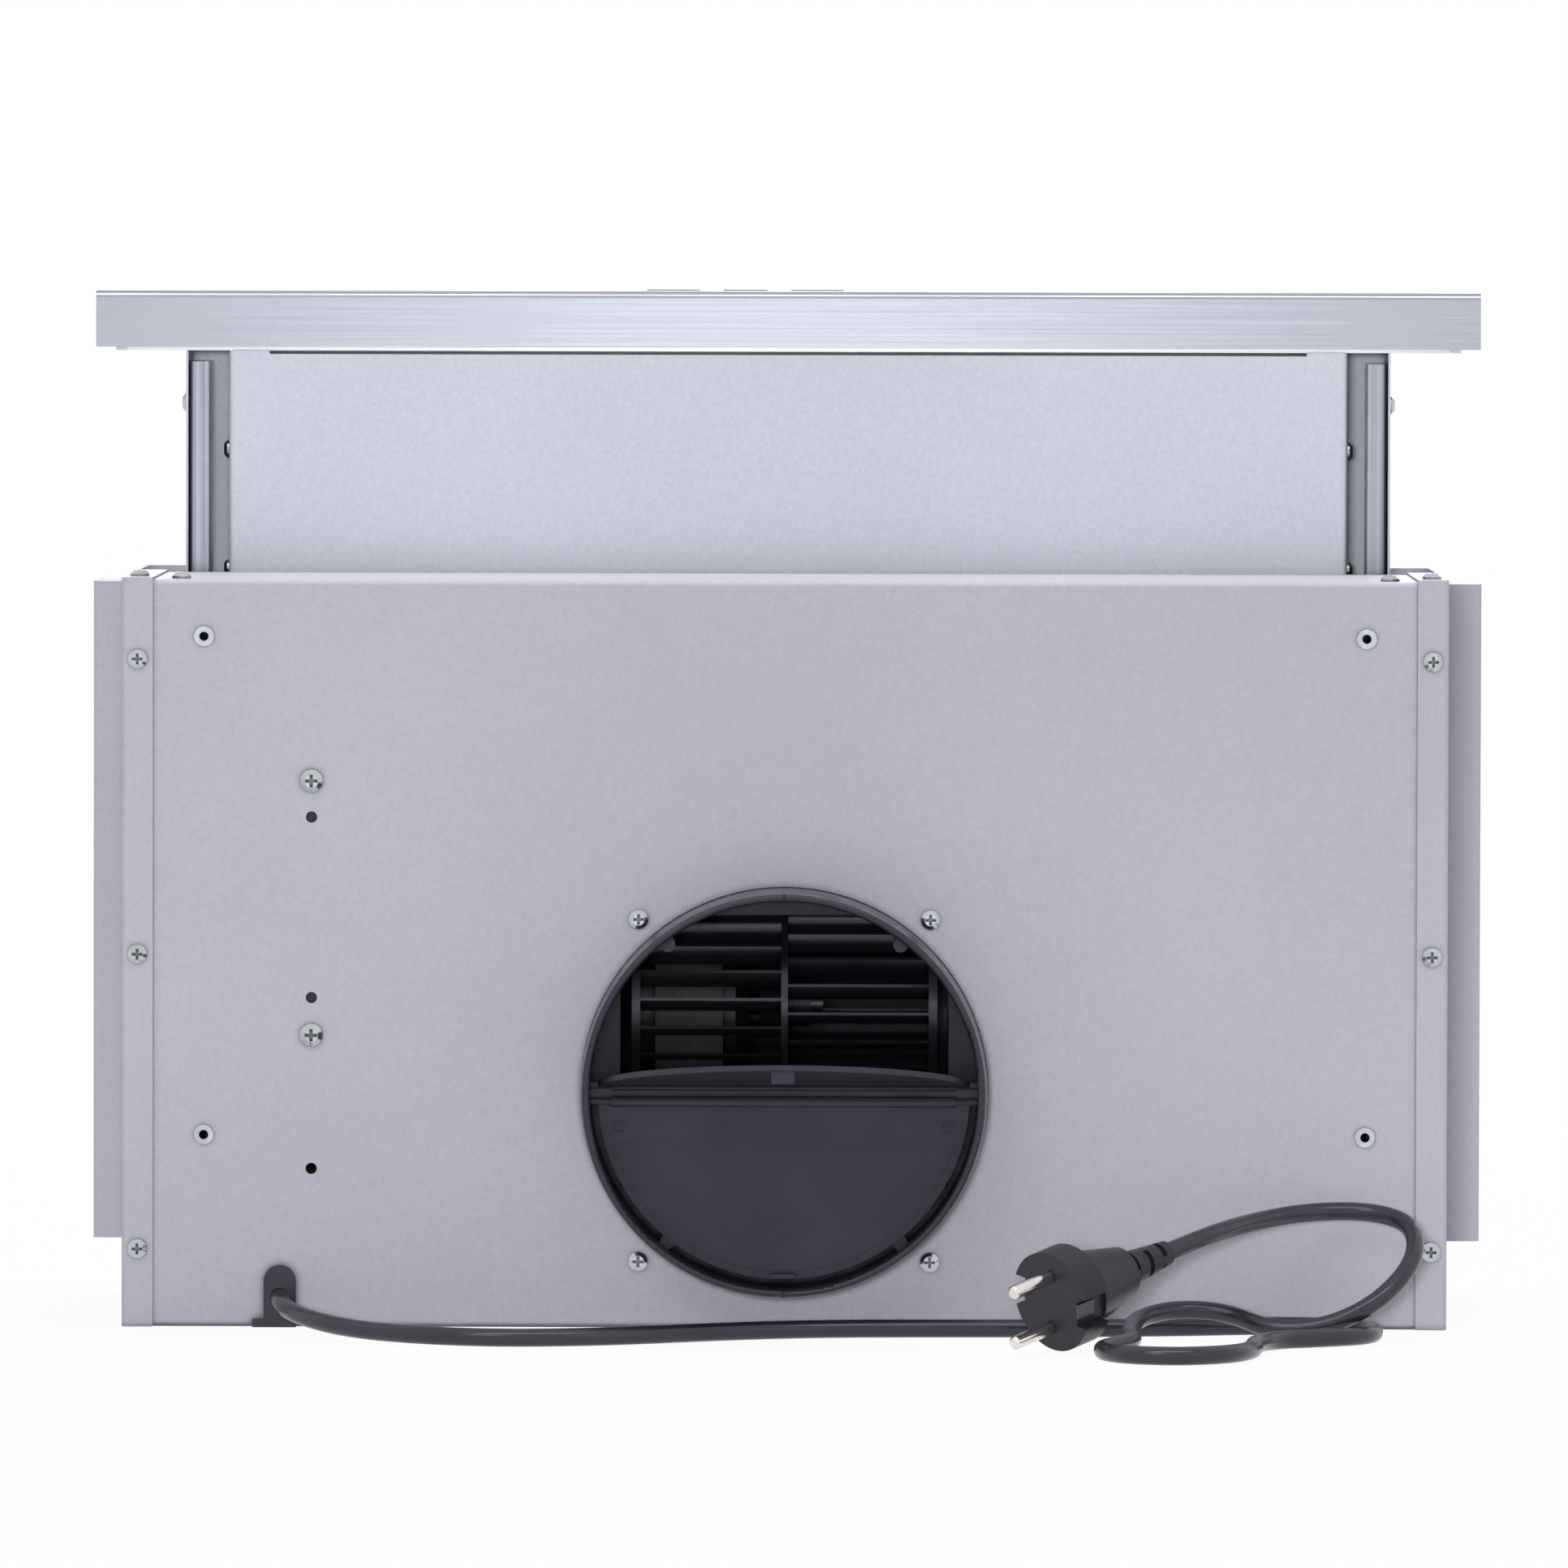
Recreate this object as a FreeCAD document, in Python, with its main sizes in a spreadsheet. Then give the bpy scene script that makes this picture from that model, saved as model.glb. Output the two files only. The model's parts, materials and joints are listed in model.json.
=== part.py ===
"""Telescopic range hood, standing on its rear wall with the drawer pulled out upwards.

Frame: origin at the middle of the rear wall's foot, X across the hood, +Y from the duct
side down to the filters, +Z out of the front, the way the drawer is pulled. Millimetres.
"""
import FreeCAD, Part
import math
import os
import Sketcher

DOC = FreeCAD.newDocument("range_hood")
SHEET = DOC.addObject("Spreadsheet::Sheet", "sizes")
PIECES = []
Vector = FreeCAD.Vector


class Size:
    """A length that carries its number and the spreadsheet formula that it comes from."""

    def __init__(self, value, text):
        self.value = float(value)
        self.text = text

    def __add__(self, other):
        return Size(self.value + num(other), f"({self.text} + {text(other)})")

    def __radd__(self, other):
        return Size(num(other) + self.value, f"({text(other)} + {self.text})")

    def __sub__(self, other):
        return Size(self.value - num(other), f"({self.text} - {text(other)})")

    def __rsub__(self, other):
        return Size(num(other) - self.value, f"({text(other)} - {self.text})")

    def __mul__(self, other):
        return Size(self.value * num(other), f"({self.text} * {text(other)})")

    __rmul__ = __mul__

    def __truediv__(self, other):
        return Size(self.value / num(other), f"({self.text} / {text(other)})")

    def __neg__(self):
        return Size(-self.value, f"(0 - {self.text})")


def num(value):
    """The plain number behind a size."""
    return value.value if isinstance(value, Size) else float(value)


def text(value):
    """The spreadsheet formula behind a size."""
    return value.text if isinstance(value, Size) else f"({float(value):.9g})"


def size(alias, value):
    """Write one driving dimension into the next row of the sheet."""
    row = size.rows = getattr(size, "rows", 0) + 1
    SHEET.set(f"A{row}", alias)
    SHEET.set(f"B{row}", f"{value:g}")
    SHEET.setAlias(f"B{row}", alias)
    return Size(value, f"sizes.{alias}")


def bind(item, prop, value):
    """Tie a property to its formula, or set a plain number."""
    if isinstance(value, Size):
        item.setExpression(prop, value.text)
    elif "." in prop or "[" in prop:
        item.setExpression(prop, text(value))
    else:
        setattr(item, prop, value)


def place(item, x=0, y=0, z=0, rotation=None):
    """Stand an object at a place worked out from the sheet."""
    item.Placement = FreeCAD.Placement(Vector(num(x), num(y), num(z)), rotation or FreeCAD.Rotation())
    for axis, value in zip("xyz", (x, y, z)):
        if isinstance(value, Size):
            item.setExpression(f"Placement.Base.{axis}", value.text)
    return item


def piece(item, label):
    """Name a finished sub-part and keep it for writing."""
    item.Label = label
    PIECES.append(item)
    return item


# Sketches


def new_body(name):
    return DOC.addObject("PartDesign::Body", f"{name}_body")


def new_sketch(body, plane, offset=0):
    """A sketch on one of the body's own origin planes, moved along that plane's normal."""
    sketch = body.newObject("Sketcher::SketchObject", f"{body.Name}_sketch")
    support = [item for item in body.Origin.OriginFeatures if item.Role == plane][0]
    sketch.AttachmentSupport = [(support, "")]
    sketch.MapMode = "FlatFace"
    sketch.AttachmentOffset = FreeCAD.Placement(Vector(0, 0, num(offset)), FreeCAD.Rotation())
    if isinstance(offset, Size):
        sketch.setExpression("AttachmentOffset.Base.z", offset.text)
    return sketch


def dimension(sketch, kind, refs, value):
    """Add a driving dimension to a sketch and tie it to the sheet."""
    index = sketch.addConstraint(Sketcher.Constraint(kind, *refs, num(value)))
    if isinstance(value, Size):
        sketch.setExpression(f"Constraints[{index}]", value.text)


def pin_point(sketch, geo, end, x, y):
    """Hold a sketch point at (x, y) from the sketch origin."""
    for kind, value, axis in (("DistanceX", x, -2), ("DistanceY", y, -1)):
        if abs(num(value)) < 1e-9:
            sketch.addConstraint(Sketcher.Constraint("PointOnObject", geo, end, axis))
        else:
            dimension(sketch, kind, (-1, 1, geo, end), value)


def circle(sketch, x, y, radius):
    geo = sketch.addGeometry(Part.Circle(Vector(num(x), num(y), 0), Vector(0, 0, 1), num(radius)))
    pin_point(sketch, geo, 3, x, y)
    dimension(sketch, "Radius", (geo,), radius)


def corner_arc(centre, radius, start, end):
    """The short arc between two points, and whether it runs anticlockwise from the first to the second."""
    angles = [math.atan2(p.y - centre.y, p.x - centre.x) for p in (start, end)]
    sweep = (angles[1] - angles[0]) % (2 * math.pi)
    forward = sweep < math.pi
    first = angles[0] if forward else angles[1]
    span = sweep if forward else 2 * math.pi - sweep
    return Part.ArcOfCircle(Part.Circle(centre, Vector(0, 0, 1), radius), first, first + span), forward


def outline(sketch, corners, radii=None):
    """A closed outline of straight sides, with the corners in radii (index to radius) rounded."""
    radii = radii or {}
    count = len(corners)
    points = [Vector(num(x), num(y), 0) for x, y in corners]
    starts, ends, arcs = {}, {}, {}
    for i in range(count):
        if i not in radii:
            starts[i] = ends[i] = points[i]
            continue
        back = (points[i - 1] - points[i]).normalize()
        ahead = (points[(i + 1) % count] - points[i]).normalize()
        half = back.getAngle(ahead) / 2
        reach = num(radii[i]) / math.tan(half)
        ends[i] = points[i] + back * reach
        starts[i] = points[i] + ahead * reach
        centre = points[i] + (back + ahead).normalize() * (num(radii[i]) / math.sin(half))
        arcs[i] = corner_arc(centre, num(radii[i]), ends[i], starts[i])
    lines = [sketch.addGeometry(Part.LineSegment(starts[i], ends[(i + 1) % count])) for i in range(count)]
    for i in range(count):
        before, after = lines[i - 1], lines[i]
        x, y = corners[i]
        if i not in radii:
            sketch.addConstraint(Sketcher.Constraint("Coincident", before, 2, after, 1))
            pin_point(sketch, after, 1, x, y)
            continue
        curve, forward = arcs[i]
        arc = sketch.addGeometry(curve)
        first, second = (1, 2) if forward else (2, 1)
        sketch.addConstraint(Sketcher.Constraint("Tangent", before, 2, arc, first))
        sketch.addConstraint(Sketcher.Constraint("Tangent", arc, second, after, 1))
        dimension(sketch, "Radius", (arc,), radii[i])
        corner = sketch.addGeometry(Part.Point(points[i]), True)
        pin_point(sketch, corner, 1, x, y)
        sketch.addConstraint(Sketcher.Constraint("PointOnObject", corner, 1, before))
        sketch.addConstraint(Sketcher.Constraint("PointOnObject", corner, 1, after))


def rectangle(sketch, x0, y0, x1, y1, radius=None):
    radii = {i: radius for i in range(4)} if radius else None
    outline(sketch, [(x0, y0), (x1, y0), (x1, y1), (x0, y1)], radii)


def fold(sketch, path, wall, bend):
    """The edge of a folded sheet: a path of square turns, thickened to its left, with round bends."""
    count = len(path)
    normals = []
    for i in range(count - 1):
        run = Vector(num(path[i + 1][0]) - num(path[i][0]), num(path[i + 1][1]) - num(path[i][1]), 0)
        run.normalize()
        normals.append((round(-run.y), round(run.x)))
    inner = []
    radii = {}
    for i in range(count):
        touching = normals[max(i - 1, 0):i + 1]
        if 0 < i < count - 1:
            shift = (touching[0][0] + touching[1][0], touching[0][1] + touching[1][1])
            turn_left = normals[i - 1][0] * normals[i][1] - normals[i - 1][1] * normals[i][0] > 0
            radii[i] = bend + wall if turn_left else bend
            radii[2 * count - 1 - i] = bend if turn_left else bend + wall
        else:
            shift = touching[0]
        inner.append((path[i][0] + shift[0] * wall, path[i][1] + shift[1] * wall))
    outline(sketch, list(path) + inner[::-1], radii)


# Features


def pad(body, sketch, length, reverse=False):
    feature = body.newObject("PartDesign::Pad", f"{body.Name}_pad")
    feature.Profile = sketch
    bind(feature, "Length", length)
    feature.Reversed = reverse
    return feature


def pocket(body, sketch, depth, reverse=False):
    """Cut a sketch into the body, and refuse a cut that misses it."""
    DOC.recompute()
    before = body.Shape.Volume
    feature = body.newObject("PartDesign::Pocket", f"{body.Name}_pocket")
    feature.Profile = sketch
    bind(feature, "Length", depth)
    feature.Reversed = reverse
    DOC.recompute()
    if body.Shape.Volume > before - 1e-3:
        raise RuntimeError(f"a pocket in {body.Name} cuts nothing")
    return feature


def revolve(body, sketch, axis="V_Axis"):
    feature = body.newObject("PartDesign::Revolution", f"{body.Name}_turn")
    feature.Profile = sketch
    feature.ReferenceAxis = (sketch, [axis])
    feature.Angle = 360
    return feature


def box(name, x0, y0, z0, x1, y1, z1):
    """A block between two corners."""
    item = DOC.addObject("Part::Box", name)
    for prop, low, high in (("Length", x0, x1), ("Width", y0, y1), ("Height", z0, z1)):
        bind(item, prop, high - low if isinstance(high, Size) or isinstance(low, Size) else float(high - low))
    return place(item, x0, y0, z0)


AXES = {
    "X": FreeCAD.Rotation(Vector(0, 1, 0), 90),
    "Y": FreeCAD.Rotation(Vector(1, 0, 0), -90),
    "Z": FreeCAD.Rotation(),
}


def rod(name, x, y, z, axis, radius, length):
    """A round bar from a point along a row axis."""
    item = DOC.addObject("Part::Cylinder", name)
    bind(item, "Radius", radius)
    bind(item, "Height", length)
    return place(item, x, y, z, AXES[axis])


def join(name, *items):
    item = DOC.addObject("Part::MultiFuse", name)
    item.Shapes = list(items)
    return item


def cut(name, base, *tools):
    item = DOC.addObject("Part::Cut", name)
    item.Base = base
    item.Tool = tools[0] if len(tools) == 1 else join(f"{name}_tools", *tools)
    return item


def group(label, shapes):
    """Separate solids that share one node, such as a set of screws."""
    item = DOC.addObject("Part::Feature", f"{label}_group")
    item.Shape = Part.makeCompound(shapes)
    return piece(item, label)


SIDES = {"left": -1, "right": 1}
# Driving dimensions: casing

body_width = size("body_width", 468)
body_depth = size("body_depth", 264)
top_height = size("top_height", 75)
ledge_drop = size("ledge_drop", 34)
under_drop = size("under_drop", 98)
sheet_wall = size("sheet_wall", 0.8)
bend_inside = size("bend_inside", 1.4)
flange_width = size("flange_width", 11)
under_flange = size("under_flange", 31)
skirt_overhang = size("skirt_overhang", 16)
skirt_rear = size("skirt_rear", 23.6)
skirt_front = size("skirt_front", 260.6)
fit_gap = size("fit_gap", 0.1)
loose_gap = size("loose_gap", 0.3)
run_gap = size("run_gap", 0.05)
cut_margin = size("cut_margin", 1)

# Driving dimensions: fasteners

screw_shank = size("screw_shank", 1.7)
screw_head = size("screw_head", 3.4)
screw_dome = size("screw_dome", 2.1)
screw_crown = size("screw_crown", 0.62)
screw_rim = size("screw_rim", 0.45)
recess_arm = size("recess_arm", 0.56)
recess_slot = size("recess_slot", 0.15)
recess_depth = size("recess_depth", 0.42)
screw_length = size("screw_length", 6)
side_screw_inset = size("side_screw_inset", 5.6)
side_screw_low = size("side_screw_low", 27.6)
side_screw_middle = size("side_screw_middle", 131.8)
side_screw_high = size("side_screw_high", 236)
front_screw_drop = size("front_screw_drop", 14)
front_screw_inner = size("front_screw_inner", 20.4)
rivnut_span_x = size("rivnut_span_x", 410)
rivnut_front = size("rivnut_front", 20)
rivnut_span_z = size("rivnut_span_z", 176)
rivnut_bore = size("rivnut_bore", 1.65)
rivnut_barrel = size("rivnut_barrel", 2.9)
rivnut_flange = size("rivnut_flange", 3.5)
rivnut_rim = size("rivnut_rim", 0.8)
rivnut_length = size("rivnut_length", 9)
box_screw_shank = size("box_screw_shank", 1.9)
box_screw_head = size("box_screw_head", 4)
box_screw_dome = size("box_screw_dome", 2.6)
box_screw_length = size("box_screw_length", 9)

# Driving dimensions: terminal box, spare holes and cord slot

box_screw_offset = size("box_screw_offset", 167)
box_screw_low = size("box_screw_low", 103.3)
box_screw_high = size("box_screw_high", 193.1)
spare_hole = size("spare_hole", 2)
spare_hole_low = size("spare_hole_low", 56.1)
spare_hole_middle = size("spare_hole_middle", 116.5)
spare_hole_high = size("spare_hole_high", 180.3)
slot_offset = size("slot_offset", 178)
slot_half = size("slot_half", 4.2)
slot_top = size("slot_top", 19.5)

# Driving dimensions: duct collar

collar_z = size("collar_z", 84)
collar_radius = size("collar_radius", 71.8)
collar_rim_radius = size("collar_rim_radius", 70.8)
collar_bore = size("collar_bore", 68.2)
collar_neck_step = size("collar_neck_step", 1.2)
collar_straight = size("collar_straight", 18)
collar_height = size("collar_height", 32)
collar_flange_x = size("collar_flange_x", 76)
collar_flange_z = size("collar_flange_z", 74.5)
collar_flange_wall = size("collar_flange_wall", 3)
stop_radius = size("stop_radius", 2.6)
stop_sink = size("stop_sink", 1.7)
stop_angle = size("stop_angle", 52)
collar_screw_x = size("collar_screw_x", 51.5)
collar_screw_z = size("collar_screw_z", 60.5)

half_width = body_width / 2
inner_half = half_width - sheet_wall
casing_half = inner_half - bend_inside
top_y = -top_height
DOC.recompute()


def screw_shape(radius, dome, shank, length, under_head):
    """A cross-recessed pan-head screw along +Y: seat at y = 0 and head on the -Y side."""
    head, rise, neck, reach = (num(v) for v in (radius, dome, shank, length))
    crown, rim = head * num(screw_crown), rise * num(screw_rim)
    corners = [
        (0, -rise),
        (crown, -rise),
        (head, -rim),
        (head, 0),
        (neck, 0),
        (neck, num(under_head) + reach),
        (0, num(under_head) + reach),
    ]
    face = Part.Face(Part.makePolygon([Vector(x, y, 0) for x, y in corners + corners[:1]]))
    screw = face.revolve(Vector(0, 0, 0), Vector(0, 1, 0), 360)
    arm, slot, deep = (head * num(v) for v in (recess_arm, recess_slot, recess_depth))
    for across, along in ((arm, slot), (slot, arm)):
        screw = screw.cut(Part.makeBox(2 * across, deep, 2 * along, Vector(-across, -rise, -along)))
    return screw


def screws(label, seats, radius, dome, shank, length, under_head=0):
    """One node of like screws; each seat is a point and the way the screw drives in."""
    shapes = []
    for point, drive in seats:
        shape = screw_shape(radius, dome, shank, length, under_head)
        turn = FreeCAD.Rotation(Vector(0, 1, 0), Vector(*drive))
        shape.Placement = FreeCAD.Placement(Vector(*(num(v) for v in point)), turn)
        shapes.append(shape)
    return group(label, shapes)


# Casing

side_screw_x = half_width - side_screw_inset
side_screw_zs = [side_screw_low, side_screw_middle, side_screw_high]
rivnut_zs = [body_depth - rivnut_front - rivnut_span_z, body_depth - rivnut_front]
box_screw_zs = [box_screw_low, box_screw_high]
spare_hole_zs = [spare_hole_low, spare_hole_middle, spare_hole_high]
collar_seats = [(sx * collar_screw_x, collar_z + sz * collar_screw_z) for sx in (-1, 1) for sz in (-1, 1)]
front_screw_y = top_y + front_screw_drop


def make_upper_casing():
    """Top plate, front wall and rear wall folded from one sheet."""
    body = new_body("upper_casing")
    section = new_sketch(body, "YZ_Plane", -casing_half)
    path = [(ledge_drop, body_depth), (top_y, body_depth), (top_y, 0), (under_drop - sheet_wall, 0)]
    fold(section, path, sheet_wall, bend_inside)
    pad(body, section, 2 * casing_half)
    holes = new_sketch(body, "XZ_Plane", top_height + cut_margin)
    circle(holes, 0, collar_z, collar_radius + loose_gap)
    for x in (-1, 1):
        for z in side_screw_zs:
            circle(holes, x * side_screw_x, z, screw_shank + fit_gap)
        for z in rivnut_zs:
            circle(holes, x * rivnut_span_x / 2, z, rivnut_barrel + fit_gap)
    for x, z in collar_seats:
        circle(holes, x, z, screw_shank + fit_gap)
    for z in box_screw_zs:
        circle(holes, -box_screw_offset, z, box_screw_shank + fit_gap)
    for z in spare_hole_zs:
        circle(holes, -box_screw_offset, z, spare_hole)
    pocket(body, holes, cut_margin + sheet_wall + loose_gap)
    slot = new_sketch(body, "XZ_Plane", top_height + cut_margin)
    left, right = -slot_offset - slot_half, -slot_offset + slot_half
    rectangle(slot, left, -cut_margin, right, slot_top)
    pocket(body, slot, cut_margin + sheet_wall + bend_inside)
    front = new_sketch(body, "XY_Plane", body_depth + cut_margin)
    for x in (-1, 1):
        circle(front, x * side_screw_x, front_screw_y, screw_shank + fit_gap)
        circle(front, x * (half_width - front_screw_inner), front_screw_y, screw_shank + fit_gap)
    pocket(body, front, cut_margin + sheet_wall + loose_gap)
    return piece(body, "upper_casing")


def make_side_panel(name, side):
    """Side wall with a flange over the top plate and one over the front wall."""
    body = new_body(f"side_panel_{name}")
    section = new_sketch(body, "XY_Plane")
    flange_y = top_y - sheet_wall
    path = [
        (side * (half_width - under_flange), under_drop),
        (side * half_width, under_drop),
        (side * half_width, flange_y),
        (side * (half_width - flange_width), flange_y),
    ]
    fold(section, path if side < 0 else path[::-1], sheet_wall, bend_inside)
    pad(body, section, body_depth + sheet_wall)
    front = new_sketch(body, "XY_Plane", body_depth)
    edge = side * (half_width - flange_width)
    rectangle(front, side * (half_width - sheet_wall / 2), flange_y + sheet_wall / 2, edge, ledge_drop)
    pad(body, front, sheet_wall)
    holes = new_sketch(body, "XZ_Plane", top_height + sheet_wall + cut_margin)
    for z in side_screw_zs:
        circle(holes, side * side_screw_x, z, screw_shank + fit_gap)
    pocket(body, holes, cut_margin + sheet_wall + loose_gap)
    screw_hole = new_sketch(body, "XY_Plane", body_depth + sheet_wall + cut_margin)
    circle(screw_hole, side * side_screw_x, front_screw_y, screw_shank + fit_gap)
    pocket(body, screw_hole, cut_margin + sheet_wall + loose_gap)
    return piece(body, f"side_panel_{name}")


def make_skirt(name, side):
    """The wider lower edge that covers the cabinet's sides, closed at both ends."""
    body = new_body(f"skirt_{name}")
    section = new_sketch(body, "XY_Plane", skirt_rear)
    inner, outer = side * half_width, side * (half_width + skirt_overhang)
    path = [(inner, under_drop), (outer, under_drop), (outer, ledge_drop), (inner, ledge_drop)]
    fold(section, path if side < 0 else path[::-1], sheet_wall, bend_inside)
    pad(body, section, skirt_front - skirt_rear)
    inset = side * sheet_wall / 2
    for z in (skirt_rear, skirt_front - sheet_wall):
        end = new_sketch(body, "XY_Plane", z)
        rectangle(end, inner, ledge_drop + sheet_wall / 2, outer - inset, under_drop - sheet_wall / 2,
                  bend_inside)
        pad(body, end, sheet_wall)
    return piece(body, f"skirt_{name}")


def make_rivnuts():
    """Four flanged rivet nuts that take the cabinet bolts."""
    rim, barrel, bore = num(rivnut_flange), num(rivnut_barrel), num(rivnut_bore)
    lift, length = -num(rivnut_rim), num(rivnut_length)
    corners = [(bore, lift), (rim, lift), (rim, 0), (barrel, 0), (barrel, length), (bore, length), (bore, lift)]
    face = Part.Face(Part.makePolygon([Vector(x, y, 0) for x, y in corners]))
    nut = face.revolve(Vector(0, 0, 0), Vector(0, 1, 0), 360)
    shapes = []
    for x in (-1, 1):
        for z in rivnut_zs:
            copy = nut.copy()
            copy.Placement = FreeCAD.Placement(Vector(x * num(rivnut_span_x) / 2, num(top_y), num(z)),
                                               FreeCAD.Rotation())
            shapes.append(copy)
    return group("cabinet_rivnuts", shapes)


make_upper_casing()
for side_name, side_sign in SIDES.items():
    make_side_panel(side_name, side_sign)
    make_skirt(side_name, side_sign)
make_rivnuts()
casing_seats = [((x * side_screw_x, top_y - sheet_wall, z), (0, 1, 0)) for x in (-1, 1) for z in side_screw_zs]
casing_seats += [((x * side_screw_x, front_screw_y, body_depth + sheet_wall), (0, 0, -1)) for x in (-1, 1)]
casing_seats += [((x * (half_width - front_screw_inner), front_screw_y, body_depth), (0, 0, -1)) for x in (-1, 1)]
screws("casing_screws", casing_seats, screw_head, screw_dome, screw_shank, screw_length)
screws("collar_screws", [((x, top_y, z), (0, 1, 0)) for x, z in collar_seats],
       screw_head, screw_dome, screw_shank, screw_length)
screws("control_box_screws", [((-box_screw_offset, top_y, z), (0, 1, 0)) for z in box_screw_zs],
       box_screw_head, box_screw_dome, box_screw_shank, box_screw_length)


# Driving dimensions: flaps and blower

flap_pivot_depth = size("flap_pivot_depth", 15)
flap_pivot_half = size("flap_pivot_half", 3)
flap_radius = size("flap_radius", 65.4)
flap_wall = size("flap_wall", 2)
flap_barrel = size("flap_barrel", 2)
flap_pin = size("flap_pin", 1.4)
flap_pin_reach = size("flap_pin_reach", 69.8)
flap_barrel_half = size("flap_barrel_half", 60.8)
flap_tab_half = size("flap_tab_half", 4)
flap_tab_height = size("flap_tab_height", 4.5)
flap_tab_wall = size("flap_tab_wall", 1.4)
flap_open_angle = size("flap_open_angle", 81)
flap_border = size("flap_border", 2.6)
flap_field_depth = size("flap_field_depth", 0.3)
flap_field_start = size("flap_field_start", 14.5)
flap_mark = size("flap_mark", 2.2)
flap_mark_x = size("flap_mark_x", 58)
flap_mark_z = size("flap_mark_z", 8.5)
flap_mark_far = size("flap_mark_far", 48)
bridge_half = size("bridge_half", 2.2)
bridge_height = size("bridge_height", 5)
rim_round = size("rim_round", 1.2)
seam_half = size("seam_half", 0.6)
seam_depth = size("seam_depth", 1.4)
wheel_radius = size("wheel_radius", 45)
wheel_half = size("wheel_half", 54)
wheel_axis_drop = size("wheel_axis_drop", 51)
wheel_axis_z = size("wheel_axis_z", 112)
wheel_disc_wall = size("wheel_disc_wall", 2.4)
wheel_ring_width = size("wheel_ring_width", 3)
blade_count = 28
blade_inner = size("blade_inner", 37)
blade_wall = size("blade_wall", 1)
blade_inset = size("blade_inset", 0.5)
blade_lead = size("blade_lead", 5)
blade_bow = size("blade_bow", 1)
hub_radius = size("hub_radius", 8)
hub_half = size("hub_half", 9)
shaft_radius = size("shaft_radius", 4)
housing_half = size("housing_half", 60)
housing_wall = size("housing_wall", 2)
tongue_z = size("tongue_z", 34)
tongue_gap = size("tongue_gap", 4)
scroll_front = size("scroll_front", 51)
scroll_under = size("scroll_under", 54)
scroll_rear = size("scroll_rear", 62)
inlet_radius = size("inlet_radius", 38)
inlet_lip = size("inlet_lip", 5)
motor_radius = size("motor_radius", 27)
stator_radius = size("stator_radius", 29)
stator_start = size("stator_start", 46)
stator_end = size("stator_end", 22)
motor_tail = size("motor_tail", 58)
motor_nose = size("motor_nose", 13)
bearing_boss = size("bearing_boss", 9)
bracket_wall = size("bracket_wall", 2)
bracket_arm = size("bracket_arm", 9)
bracket_ring = size("bracket_ring", 44)
bracket_hub = size("bracket_hub", 14.4)
DOC.recompute()

pivot_y = top_y - collar_height + flap_pivot_depth
seat_y = pivot_y + flap_pin + fit_gap
bridge_y = pivot_y + flap_barrel + loose_gap
collar_floor = top_y + sheet_wall + collar_flange_wall
axis_y = top_y + wheel_axis_drop


def make_collar():
    """Round duct spigot with four flap stops, a bridge behind the hinge line and pin holes."""
    body = new_body("duct_collar")
    section = new_sketch(body, "XY_Plane")
    rim = top_y - collar_height
    corners = [
        (collar_bore, rim),
        (collar_rim_radius, rim),
        (collar_radius, top_y - collar_straight),
        (collar_radius, top_y - loose_gap),
        (collar_radius - collar_neck_step, top_y - loose_gap),
        (collar_radius - collar_neck_step, collar_floor),
        (collar_bore, collar_floor),
    ]
    outline(section, corners, {0: rim_round, 1: rim_round})
    revolve(body, section)
    place(body, 0, 0, collar_z)
    plate = box("collar_plate", -collar_flange_x, top_y + sheet_wall, collar_z - collar_flange_z,
                collar_flange_x, collar_floor, collar_z + collar_flange_z)
    mouth = rod("collar_mouth", 0, top_y, collar_z, "Y", (collar_bore + collar_radius) / 2,
                2 * collar_flange_wall)
    flange = cut("collar_flange", plate, mouth)
    bridge = box("collar_bridge", -collar_bore - seam_depth, bridge_y, collar_z - bridge_half,
                 collar_bore + seam_depth, bridge_y + bridge_height, collar_z + bridge_half)
    holes, stops = [], []
    for x in (-1, 1):
        for z in (-1, 1):
            turn, stop_reach = math.radians(num(stop_angle)), collar_bore - stop_sink
            stops.append(rod(f"flap_stop_{x}_{z}", x * math.cos(turn) * stop_reach, seat_y,
                             collar_z + z * math.sin(turn) * stop_reach, "Y", stop_radius,
                             collar_floor - seat_y))
            start = -flap_pin_reach - loose_gap if x < 0 else collar_bore - rim_round
            reach = flap_pin_reach + loose_gap - collar_bore + rim_round
            holes.append(rod(f"pin_hole_{x}_{z}", start, pivot_y, collar_z + z * flap_pivot_half, "X",
                             flap_pin + run_gap, reach))
    for x, z in collar_seats:
        holes.append(rod("collar_screw_hole", x, top_y, z, "Y", screw_shank + fit_gap, collar_flange_wall * 2))
    for z in (-1, 1):
        middle = collar_z + z * (collar_rim_radius - seam_depth / 2)
        holes.append(box("seam_nick", -seam_half, rim - cut_margin, middle - seam_depth,
                         seam_half, rim + seam_depth, middle + seam_depth))
    shell = cut("duct_collar_cut", join("duct_collar_join", body, flange, bridge, *stops), *holes)
    return piece(shell, "duct_collar")


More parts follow.
